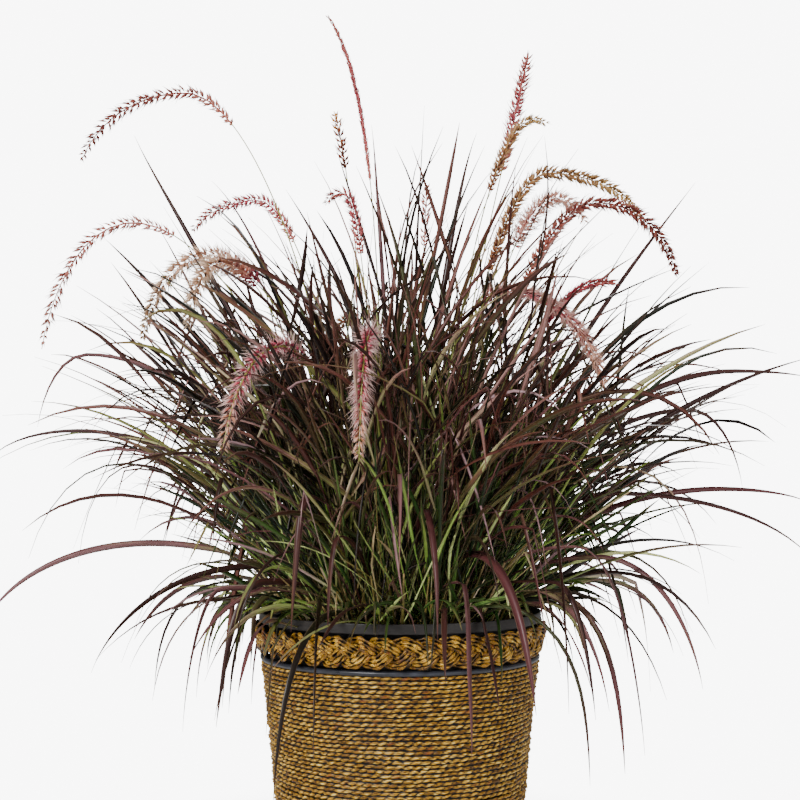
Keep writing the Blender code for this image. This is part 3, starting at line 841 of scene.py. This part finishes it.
def stem_curve(stem, count):
    """Evenly spaced points along a CAD stem's arch, from the crown to its tip, its heading and length."""
    heading, root, bend, tip = stem
    crown = CROWN.z + 1.0 * MM
    foot = (root, crown)
    share = np.linspace(0, 1, 80)
    if isinstance(bend, float):
        out, up = tip[0] - root, tip[1] - crown
        low, high = (root + 0.15 * out, crown + 0.40 * up), (root + bend * out, crown + 0.85 * up)
        arch = bezier(foot, low, high, tip, share)
    else:
        out, up = bend[0] - root, bend[1] - crown
        fall_out, fall = tip[0] - bend[0], bend[1] - tip[1]
        low, high = (root + 0.06 * out, crown + 0.45 * up), (root + 0.55 * out, bend[1])
        over, down = (bend[0] + 0.55 * fall_out, bend[1]), (tip[0] - 0.10 * fall_out, tip[1] + 0.50 * fall)
        rise = bezier(foot, low, high, bend, share)
        arch = np.concatenate([rise, bezier(bend, over, down, tip, share[1:])])
    arch = np.concatenate([[(root * 0.97, CROWN.z - 12 * MM)], arch])
    length = np.concatenate([[0], np.cumsum(np.hypot(*np.diff(arch, axis=0).T))])
    even = np.linspace(0, length[-1], count)
    angle = math.radians(heading)
    reach, height = (np.interp(even, length, values) for values in arch.T)
    return polar(reach, angle, height), angle, length[-1]


def ribbons(form, paths, headings, widths, outline, fold, twist, tone, ripe):
    """Leaves along paths (n, m, 3): V-folded closed blades, with the marks that leaf materials read."""
    ahead = unit(np.gradient(paths, axis=1))
    level = np.stack([-np.sin(headings), np.cos(headings), 0 * headings], -1)
    flat = unit(level - ahead * (level * ahead).sum(2, keepdims=True))
    face = np.cross(ahead, flat)
    side, face = swung(flat, face, twist), swung(face, -flat, twist)
    half = (widths[:, None] * outline / 2)[..., None]
    lift = face * half * np.sin(fold)[:, None, None]
    reach = side * half * np.cos(fold)[:, None, None]
    thick = face * (0.16 * MM + 0.05 * half)
    points = np.stack([paths - thick, paths + reach + lift, paths + thick, paths - reach + lift], 2)
    add_columns(
        form, points, along=np.linspace(0, 1, paths.shape[1])[None, :],
        across=np.array([0.0, 1.0, 0.0, -1.0]), tone=tone[:, None], ripe=ripe)


def blade_outline(past, base, hold, point):
    """Width along leaves as a share of the full width: thin stem, full blade, long point.

    past (n, m) runs from below 0 on the stem, through 0 where the blade leaves it, to 1 at the tip.
    """
    opening = np.clip(past / 0.2, 0, 1)
    opening = opening * opening * (3 - 2 * opening)
    body = base[:, None] + (1 - base[:, None]) * opening
    taper = 1 - np.clip((past - hold[:, None]) / (1 - hold[:, None]), 0, 1) ** point[:, None]
    return np.maximum(body * taper, 0.05)


def grow_leaves(kind, batch, rng):
    """Leaf paths: up a stem from the crown, off it at a node, then over under their own weight."""
    steps = CLUMP_LEAF_STEPS
    spread = np.sqrt(rng.uniform(kind["ring"] ** 2, 1, batch))
    around = rng.uniform(0, 2 * math.pi, batch)
    heading = around + rng.normal(0, kind["scatter"], batch)
    place = polar(spread * (CROWN.x + 2 * MM), around, CROWN.z - rng.uniform(5, 30, batch) * MM)
    low, high = kind["lean"]
    lean = np.radians(low + (high - low) * spread ** 1.45) + rng.normal(0, 0.11, batch)
    total = rng.uniform(*kind["length"], batch) * (1.12 - 0.28 * spread)
    node = rng.uniform(*kind["node"], batch)
    step = total / (steps - 1)
    ahead = polar(np.sin(lean), heading, np.cos(lean))
    turned = around + rng.normal(0, 1.25, batch)
    outward = polar(1.0, turned, 0.0)
    sideways = np.cross(-DOWN, outward)
    kick = np.tan(np.radians(rng.uniform(*kind["kick"], batch))) / (0.18 * total * (1 - node))
    sag = rng.gamma(2.2, 1, batch) * kind["sag"] * (0.35 + 0.85 * spread)
    sway = rng.normal(0, 1.1, batch)
    broken = np.where(rng.random(batch) < kind["broken"], rng.uniform(0.25, 0.75, batch), 2.0)
    paths = [place]
    before = -1.0
    for index in range(steps - 1):
        past = ((index + 0.5) / (steps - 1) - node) / (1 - node)
        ahead = ahead + DOWN * (step * (0.25 + sag * np.clip(past, 0, 1) ** 0.8))[:, None]
        ahead = ahead + outward * (kick * step * ((past > 0) & (past < 0.18)))[:, None]
        ahead = ahead + sideways * (sway * step * (past > 0))[:, None]
        snap = (before < broken) & (past >= broken)
        ahead = unit(np.where(snap[:, None], unit(ahead) * 0.45 + DOWN, ahead))
        place = place + ahead * step[:, None]
        paths.append(place)
        before = past
    past = (np.linspace(0, 1, steps)[None, :] - node[:, None]) / (1 - node[:, None])
    turns = heading[:, None] + (turned - heading)[:, None] * np.clip(past * 3, 0, 1)
    return np.stack(paths, 1), turns, spread, past


def clear_of_pot(paths):
    """Whether each path keeps off the pot's lip, the rim and the basket, and inside the CAD box."""
    radius, height = np.hypot(paths[..., 0], paths[..., 1]), paths[..., 2]
    over_lip = (height < LIP.z + 3 * MM) & (radius < LIP.x + 2 * MM)
    over_rim = (height < RIM.z + 2 * MM) & (radius < RIM.x + 4 * MM)
    blocked = (over_lip | over_rim) & (radius > LIP.x - 12 * MM)
    low, high = (np.array(corner) for corner in CAD_BOX)
    inside = (paths > low - 4 * MM).all(axis=(1, 2)) & (paths < high + 4 * MM).all(axis=(1, 2))
    return ~blocked.any(axis=1) & inside


def leaf_clump_form(kind, count, width, rng):
    """One kind of leaf, drawn from the crown in every direction until enough keep clear of the pot."""
    kept = []
    found = 0
    while found < count:
        grown = grow_leaves(kind, count, rng)
        good = clear_of_pot(grown[0])
        kept.append([part[good] for part in grown])
        found += int(good.sum())
    paths, turns, spread, past = (np.concatenate(parts)[:count] for parts in zip(*kept))
    outline = blade_outline(past, *(
        rng.uniform(low, high, count) for low, high in ((0.3, 0.5), (0.3, 0.6), (1.6, 2.6))))
    twist = rng.uniform(-1.5, 1.5, count)[:, None] + rng.normal(0, 1.1, count)[:, None] * np.clip(past, 0, 1)
    low, high = kind["ripe"]
    ripe = low + (high - low) * np.linspace(0, 1, CLUMP_LEAF_STEPS)[None, :] ** 1.1
    ripe = ripe + rng.normal(0, 0.2, count)[:, None] + 0.1 * spread[:, None]
    form = Form()
    ribbons(
        form, paths, turns, width * rng.uniform(*kind["breadth"], count), outline,
        rng.uniform(0.15, 0.75, count), twist, rng.uniform(0, 1, count), ripe)
    return form


def long_leaf_form(stem, width, rng):
    """One of the clump's longest leaves, along its CAD blade, ruffled and turned to show its face."""
    path, angle, _length = stem_curve(stem, LONG_LEAF_STEPS)
    share = np.linspace(0, 1, LONG_LEAF_STEPS)
    ruffle = 0.9 * MM * np.sin(share * rng.uniform(9, 15) + rng.uniform(0, 6)) * share
    path += ruffle[:, None] * (-math.sin(angle), math.cos(angle), 0.0)
    past = ((share - LONG_LEAF_STEM) / (1 - LONG_LEAF_STEM))[None, :]
    outline = blade_outline(past, *np.array([[0.45], [0.45], [2.0]]))
    shown = rng.choice([-1, 1]) * 1.25 * abs(math.cos(angle))
    twist = (shown + rng.normal(0, 0.2) + rng.normal(0, 0.5) * share)[None, :]
    form = Form()
    ribbons(
        form, path[None], np.full((1, LONG_LEAF_STEPS), angle), np.array([width]), outline, np.array([0.35]),
        twist, rng.uniform(0.15, 0.85, 1), (0.85 + 0.45 * share)[None, :])
    return form


def shoot_bases_form(rng):
    """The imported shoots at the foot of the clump: short round sheaths, pale straw to green."""
    count, steps = 260, 7
    spread = np.sqrt(rng.uniform(0, 1, count))
    around = rng.uniform(0, 2 * math.pi, count)
    root = polar(spread * CROWN.x, around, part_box("potting_soil")[1].z - 2 * MM)
    start = np.radians(6 + 26 * spread)
    step = (rng.uniform(0.05, 0.13, count) / (steps - 1))[:, None]
    heading = around + rng.normal(0, 0.2, count)
    share = (np.arange(steps - 1) + 0.5) / (steps - 1)
    lean = start[:, None] + np.radians(rng.uniform(0, 14, count))[:, None] * share ** 1.5
    moves = polar(step * np.sin(lean), heading[:, None], step * np.cos(lean))
    paths = root[:, None, :] + np.concatenate([0 * moves[:, :1], np.cumsum(moves, axis=1)], axis=1)
    paths = paths[clear_of_pot(paths)]
    count = len(paths)
    share = np.linspace(0, 1, steps)[None, :]
    radii = rng.uniform(1.3, 2.6, count)[:, None] * MM * (1 - 0.62 * share)
    form = Form()
    tubes(form, paths, radii, 6, along=share, across=0.0, tone=rng.uniform(0.2, 1, count)[:, None],
          ripe=rng.normal(0.25, 0.25, count)[:, None] + 0.3 * share)
    return form


def stalk_form(stem, head_length, bare):
    """The stalk of a flower, tapering up into its head; bare is the share of the head it stops short of."""
    path, _angle, length = stem_curve(stem, STALK_STEPS)
    path = path[:int(STALK_STEPS * (1 - bare * head_length / length))]
    share = np.linspace(0, 1, len(path))[None, :]
    radii = (1.5 - 0.7 * share) * MM
    form = Form()
    tubes(form, path[None], radii, 6, along=share, across=0.0, tone=0.8, ripe=0.2 + 0.6 * share)
    return form


def needles(form, base, span, radius, sides, belly, bow, along, hair, tone):
    """Pointed closed slivers along spans (n, 3) from base, thickest at belly, where they bow out.

    hair (n, 3) holds the mark for the base, the belly and the point.
    """
    first, second = frame_across(unit(span))
    section = radius[:, None, None] * round_section(first, second, sides)
    ring = (base + span * belly + bow)[:, None, :] + section
    points = np.concatenate([base[:, None, :], ring, (base + span)[:, None, :]], axis=1)
    start = (np.arange(len(base)) * (sides + 2))[:, None]
    here, beside = start + 1 + np.arange(sides), start + 1 + (np.arange(sides) + 1) % sides
    low = np.stack([start + 0 * here, beside, here], -1).reshape(-1, 3)
    high = np.stack([here, beside, start + sides + 1 + 0 * here], -1).reshape(-1, 3)
    form.add(points, [low, high], along=np.repeat(along, sides + 2),
             hair=np.repeat(hair, (1, sides, 1), axis=1), tone=np.repeat(tone, sides + 2))


def along_path(values, at):
    """Rows of values (m, 3) read at places between them."""
    return np.stack([np.interp(at, np.arange(len(values)), column) for column in values.T], -1)


def flower_head_form(stem, head, rng):
    """The bristly head at a stalk's end: four files of spikelets in chevrons, each with its bristles."""
    length, reach, look, spacing, thickness, grain_angle, bristle_count, stiffness, bristle_angle = head
    fluffy = reach > FLUFFY_REACH
    path, angle, stalk_length = stem_curve(stem, HEAD_STEPS)
    whorls = int(length / (spacing * MM))
    count = whorls * 4
    step = (np.arange(whorls)[:, None] + (0.0, 0.5, 0.0, 0.5)).reshape(-1) / whorls
    share = np.clip(1 - (1 - step) ** 0.92 + rng.normal(0, 0.12 / whorls, count), 0, 1)
    distance = (stalk_length - length) + share * (length - 2 * MM)
    at = distance / stalk_length * (len(path) - 1)
    base, ahead = along_path(path, at), unit(along_path(np.gradient(path, axis=0), at))
    first = np.broadcast_to((-math.sin(angle), math.cos(angle), 0.0), ahead.shape)
    second = np.cross(ahead, first)
    around = np.tile(np.radians((45.0, 135.0, 225.0, 315.0)), whorls) + rng.normal(0, 0.22, count)
    envelope = np.clip(0.6 + 2.2 * share, 0, 1) * np.clip(0.42 + 2.4 * (1 - share), 0, 1)

    form = Form()
    core = path[int((1 - length / stalk_length) * len(path))::4]
    core_share = np.linspace(0, 1, len(core))[None, :]
    girth = (0.42 if fluffy else 0.72) * thickness * MM
    tubes(form, core[None], girth * (1.0 - 0.6 * core_share), 6, along=core_share, hair=0.12, tone=0.5)

    outward = swung(first, second, around)
    tilt = np.radians(grain_angle + rng.normal(0, 6, count))
    body = np.minimum(reach, 12.5) * MM * envelope * rng.uniform(0.8, 1.05, count)
    body = np.clip(body / np.sin(np.maximum(tilt, LEAST_TILT)), 6 * MM, 14.5 * MM)[:, None]
    tone = rng.uniform(0, 1, count)
    plump = thickness * MM * rng.uniform(0.8, 1.1, count) * np.clip(0.6 + 0.5 * envelope, 0, 1)
    needles(form, base + outward * 0.4 * MM, swung(ahead, outward, tilt) * body, plump, 5, 0.36,
            outward * 0.08 * body, share, np.tile((0.0, 0.0, 0.5), (count, 1)), tone)

    many = np.repeat(np.arange(count), bristle_count)
    share, ahead = share[many], ahead[many]
    outward = swung(first[many], second[many], around[many] + rng.normal(0, 0.42, len(many)))
    fluff = np.clip(1.25 - 0.8 * share, 0.55, 1) if fluffy else 1.0
    tilt = np.radians(np.clip((bristle_angle + rng.normal(0, 11, len(many))) * (0.6 + 0.4 * fluff), 5, 95))
    span = reach * MM * envelope[many] * fluff * rng.uniform(0.75, 1.3, len(many))
    span = np.clip(span / np.sin(np.maximum(tilt, LEAST_TILT)), 5 * MM, 26 * MM)[:, None]
    # A cream head is still pink at its base.
    pale = np.clip(2.4 * share - 0.1, 0, 1) if look == "cream" else np.ones(len(many))
    needles(form, base[many] + outward * 0.4 * MM, swung(ahead, outward, tilt) * span,
            np.full(len(many), stiffness * MM), 3, 0.35, (outward - ahead) * 0.05 * span, share,
            pale[:, None] * (0.1, 0.55, 1.0), tone[many])
    return form


# ---------------------------------------------------------------- kinds and colours of leaf
# How far out on the crown a kind of leaf starts, the lean of its innermost and outermost stems and
# the kick of a blade off its stem in degrees, the scatter of headings in radians, the whole length in
# metres, the share of it that is stem, how fast it sags, the share of leaves that are bent, the
# ripeness at root and tip, and the width as a share of a common leaf's.
LEAF_TRAITS = ("ring", "lean", "kick", "scatter", "length", "node", "sag", "broken", "ripe", "breadth")
LEAF_ROWS = {
    "purple": (0.0, (1, 37), (4, 42), 0.7, (0.34, 0.61), (0.2, 0.7), 2.2, 0.12, (0.3, 1.15), (0.4, 1.12)),
    "arching": (0.2, (6, 44), (18, 62), 0.8, (0.28, 0.50), (0.3, 0.75), 4.8, 0.15, (0.5, 1.3), (0.35, 0.9)),
    "green": (0.0, (2, 44), (3, 30), 0.6, (0.17, 0.39), (0.1, 0.55), 1.2, 0.12, (-0.5, 0.55), (0.45, 1.0)),
    "falling": (0.75, (35, 72), (10, 40), 0.45, (0.22, 0.42), (0.05, 0.25), 4.5, 0.15, (0.45, 1.2), (0.6, 1.25)),
    "lip": (0.88, (38, 66), (2, 30), 0.4, (0.11, 0.22), (0.1, 0.3), 7.0, 0.2, (-0.5, 0.9), (0.5, 1.1)),
    "straw": (0.0, (6, 60), (2, 30), 0.8, (0.12, 0.34), (0.2, 0.7), 1.0, 0.2, (-0.2, 0.5), (0.5, 1.4)),
}
LEAF_KINDS = {name: dict(zip(LEAF_TRAITS, row)) for name, row in LEAF_ROWS.items()}

GREENS = ("#0e1e0a", "#2c501a", "#588c34", "#a4cc58", "#e4f0a0")
PURPLES = ("#140805", "#30150f", "#4e261f", "#6c4238", "#a47a74")
STALKS = ("#4a3a20", "#6e5c2e", "#8a8a44", "#9a9a50", "#b8b870")
LONG_PURPLES = ("#24120e", "#40221e", "#5a3032", "#765050", "#a08084")
GREEN_ENDS = ("#14100a", "#2c2414", "#4a3420", "#6a5030", "#8e7a58")
STRAW_ENDS = ("#3a2a1c", "#6a4c34", "#8a6848", "#a88a64", "#c8b08c")
STRAWS = ("#5a5024", "#98904c", "#c0ac64", "#e0cc90", "#f8ecc8")


# ---------------------------------------------------------------- studio
def lay_floor():
    """The white paper floor, in rings that widen to the horizon."""
    rings = np.array((0.01, 0.5, 2.0, 8.0))
    steps = 96
    form = Form()
    form.add(polar(rings[:, None], once_round(steps), 0.0), [ring_faces(len(rings), steps)])
    mesh = form.mesh("studio_floor")
    mesh.materials.append(studio_white_material())
    new_object("studio_floor", mesh)


def set_surround(brightness):
    """A white world: bright where it is seen, and softer where it lights the object."""
    world = bpy.data.worlds.new("white surround")
    world.use_nodes = True
    tree = world.node_tree
    tree.nodes.clear()
    seen = add_node(tree, "LightPath", give="Is Camera Ray")
    strength = add_node(tree, "MapRange", {"Value": seen, 1: 0.0, 2: 1.0, 3: brightness, 4: BACKDROP_WHITE})
    glow = add_node(tree, "Background", {"Color": WHITE, "Strength": strength})
    add_node(tree, "OutputWorld", {"Surface": glow})
    bpy.context.scene.world = world


def set_light(name, place, size, power):
    """A square soft light that faces the clump."""
    light = bpy.data.lights.new(name, "AREA")
    light.energy = power
    light.size = size
    aim = new_object(name + "_aim", None)
    aim.location = LIGHTS_AIM
    lamp = new_object(name, light)
    lamp.location = place
    lamp.constraints.new("TRACK_TO").target = aim


def set_camera():
    """The camera, level with the lower leaves and tilted up a little."""
    lens = bpy.data.cameras.new("camera")
    lens.lens = LENS_MM
    lens.sensor_width = 36.0
    camera = new_object("camera", lens)
    camera.location = CAMERA_PLACE
    camera.rotation_euler = (math.radians(90 + CAMERA_TILT), 0.0, 0.0)
    bpy.context.scene.camera = camera


# ---------------------------------------------------------------- operators
class GRASS_OT_wound_wall(bpy.types.Operator):
    """Wind the seagrass rope into the basket's wall"""

    bl_idname = "grass.wound_wall"
    bl_label = "Wound wall"

    def execute(self, context):
        """Make the wall in two halves and its stray fibres."""
        settings = context.scene.basket
        material = seagrass_material("twisted seagrass", settings.straw, 0.0)
        low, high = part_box("basket_wall")
        turns = round((high.z - low.z) / settings.rope_pitch)
        half = turns // 2
        for name, first, last in (("wall_rope_lower", 0, half), ("wall_rope_upper", half, turns)):
            form = wound_wall_form(first, last, turns, settings)
            show_piece(name, form, material, "seagrass_rope", "basket_wall")
        form = stray_fibres_form(STRAY_FIBRES, np.random.default_rng(11))
        show_piece("wall_stray_fibres", form, material, "seagrass_rope", "basket_wall")
        return {"FINISHED"}


class GRASS_OT_basket_base(bpy.types.Operator):
    """Finish the disc under the basket"""

    bl_idname = "grass.basket_base"
    bl_label = "Basket base"

    def execute(self, context):
        """Coil the same rope flat for the underside."""
        settings = context.scene.basket
        form = base_coil_form(settings.rope_pitch, np.random.default_rng(12))
        material = seagrass_material("coiled seagrass", settings.straw, 0.0)
        show_piece("base_coil", form, material, "seagrass_rope", "basket_base")
        return {"FINISHED"}


class GRASS_OT_hoop(bpy.types.Operator):
    """Bend the painted hoop under the braid"""

    bl_idname = "grass.hoop"
    bl_label = "Hoop"

    def execute(self, context):
        """Make the hoop."""
        material = painted_steel_material(context.scene.basket.steel)
        show_piece("hoop_wire", hoop_form(), material, "dark_steel", "metal_hoop")
        return {"FINISHED"}


class GRASS_OT_plaited_rim(bpy.types.Operator):
    """Plait the seagrass edging round the mouth"""

    bl_idname = "grass.plaited_rim"
    bl_label = "Plaited rim"

    def execute(self, context):
        """Make the plait."""
        settings = context.scene.basket
        material = seagrass_material("plaited seagrass", settings.straw, 0.03)
        form = plaited_rim_form(settings.plait_repeats, np.random.default_rng(13))
        show_piece("rim_plait", form, material, "seagrass_braid", "braided_rim")
        return {"FINISHED"}


class GRASS_OT_grow_pot(bpy.types.Operator):
    """Mould the grow pot that stands in the basket"""

    bl_idname = "grass.grow_pot"
    bl_label = "Grow pot"

    def execute(self, context):
        """Make the pot."""
        material = pot_plastic_material(context.scene.basket.plastic)
        show_piece("pot_shell", grow_pot_form(), material, "pot_plastic", "grow_pot")
        return {"FINISHED"}


class GRASS_OT_compost(bpy.types.Operator):
    """Fill the pot with compost"""

    bl_idname = "grass.compost"
    bl_label = "Compost"

    def execute(self, context):
        """Make the compost."""
        form = compost_form(np.random.default_rng(14))
        show_piece("compost_and_bark", form, compost_material(), "compost", "potting_soil")
        return {"FINISHED"}


class GRASS_OT_shoot_bases(bpy.types.Operator):
    """Pack the shoots at the foot of the clump"""

    bl_idname = "grass.shoot_bases"
    bl_label = "Shoot bases"

    def execute(self, context):
        """Make the sheaths."""
        material = leaf_material("leaf sheath", STRAWS, PURPLES, "#b89a66")
        form = shoot_bases_form(np.random.default_rng(15))
        show_piece("shoot_sheaths", form, material, "shoot_bases", "grass_crown")
        return {"FINISHED"}


class GRASS_OT_long_leaves(bpy.types.Operator):
    """Draw the clump's longest leaves, one piece each"""

    bl_idname = "grass.long_leaves"
    bl_label = "Long leaves"

    def execute(self, context):
        """Make one leaf for each CAD blade."""
        settings = context.scene.grass
        material = leaf_material("long purple leaf", with_middle(GREENS, settings.green),
                                 LONG_PURPLES, "#6e4a30")
        rng = np.random.default_rng(settings.seed)
        for name, stem in LONG_LEAVES.items():
            form = long_leaf_form(stem[:-1], stem[-1] * MM, rng)
            show_piece("leaf_" + name, form, material, "purple_leaf", "blade_" + name)
        return {"FINISHED"}


class GRASS_OT_leaf_clump(bpy.types.Operator):
    """Grow the many leaves between the longest ones"""

    bl_idname = "grass.leaf_clump"
    bl_label = "Leaf clump"

    def execute(self, context):
        """Make one piece for each kind of leaf."""
        settings = context.scene.grass
        rng = np.random.default_rng(settings.seed + 1)
        greens = with_middle(GREENS, settings.green)
        purples = with_middle(PURPLES, settings.purple)
        purple = leaf_material("purple leaf", greens, purples, "#5a3826")
        green = leaf_material("green leaf", greens, GREEN_ENDS, "#8a7a48")
        falling = leaf_material("falling leaf", greens, LONG_PURPLES, "#6e4a30")
        straw = leaf_material("dried leaf", STRAWS, STRAW_ENDS, "#c4a878")
        kinds = (
            ("purple", purple, 1.0), ("green", green, 1.0), ("lip", green, 1.0),
            ("arching", falling, 1.0), ("falling", falling, 1.0), ("straw", straw, 0.55))
        for kind, material, share in kinds:
            count = getattr(settings, kind + "_leaves")
            form = leaf_clump_form(LEAF_KINDS[kind], count, share * settings.leaf_width, rng)
            show_piece(kind + "_leaves", form, material, "purple_leaf")
        return {"FINISHED"}


class GRASS_OT_flower_heads(bpy.types.Operator):
    """Raise the flower stalks and their bristly heads"""

    bl_idname = "grass.flower_heads"
    bl_label = "Flower heads"

    def execute(self, context):
        """Make a stalk and a head for each CAD plume."""
        settings = context.scene.grass
        stalk = leaf_material("flower stalk", STALKS, STALKS, "#a0a058")
        looks = {look: flower_material(look) for look in FLOWER_LOOKS}
        rng = np.random.default_rng(settings.seed + 2)
        for name, stem in FLOWER_STALKS.items():
            head = FLOWER_HEADS[name]
            bare = 0.0 if head[2] == "silver" else 0.9
            form = stalk_form(stem, head[0], bare)
            show_piece("stalk_" + name, form, stalk, "purple_leaf", "plume_" + name)
            form = flower_head_form(stem, head, rng)
            show_piece("flower_" + name, form, looks[head[2]], "flower_head", "plume_" + name)
        return {"FINISHED"}


class GRASS_OT_studio(bpy.types.Operator):
    """Lay the white floor and set the lights and the camera"""

    bl_idname = "grass.studio"
    bl_label = "Studio"

    def execute(self, context):
        """Make the floor, the surround, the lights and the camera."""
        settings = context.scene.studio
        lay_floor()
        set_surround(settings.surround)
        set_light("key", (-1.6, -2.6, 2.4), 0.5, settings.key_power)
        set_light("fill", (2.4, -2.2, 1.2), 1.6, settings.fill_power)
        set_light("back", (0.8, 2.6, 2.8), 1.6, settings.key_power * 0.5)
        set_camera()
        return {"FINISHED"}


class GRASS_PT_panel(bpy.types.Panel):
    """The builder's panel in the sidebar"""

    bl_label = "Potted fountain grass"
    bl_space_type = "VIEW_3D"
    bl_region_type = "UI"
    bl_category = "Grass"

    def draw(self, context):
        """List the settings and the operators."""
        for settings in (context.scene.basket, context.scene.grass, context.scene.studio):
            box = self.layout.box()
            for name in settings.__annotations__:
                box.prop(settings, name)
        for operator in OPERATORS:
            self.layout.operator(operator.bl_idname)


SETTINGS = (("basket", BasketSettings), ("grass", GrassSettings), ("studio", StudioSettings))
OPERATORS = (
    GRASS_OT_studio,
    GRASS_OT_wound_wall,
    GRASS_OT_basket_base,
    GRASS_OT_hoop,
    GRASS_OT_plaited_rim,
    GRASS_OT_grow_pot,
    GRASS_OT_compost,
    GRASS_OT_shoot_bases,
    GRASS_OT_long_leaves,
    GRASS_OT_leaf_clump,
    GRASS_OT_flower_heads,
)


def register():
    """Register the settings, the operators and the panel."""
    for name, group in SETTINGS:
        bpy.utils.register_class(group)
        setattr(bpy.types.Scene, name, PointerProperty(type=group))
    for operator in OPERATORS:
        bpy.utils.register_class(operator)
    bpy.utils.register_class(GRASS_PT_panel)


def unregister():
    """Take everything off again, in the opposite order."""
    bpy.utils.unregister_class(GRASS_PT_panel)
    for operator in reversed(OPERATORS):
        bpy.utils.unregister_class(operator)
    for name, group in reversed(SETTINGS):
        delattr(bpy.types.Scene, name)
        bpy.utils.unregister_class(group)


def main():
    """Build every piece."""
    register()
    for operator in OPERATORS:
        family, action = operator.bl_idname.split(".")
        getattr(getattr(bpy.ops, family), action)()


if __name__ == "__main__":
    main()
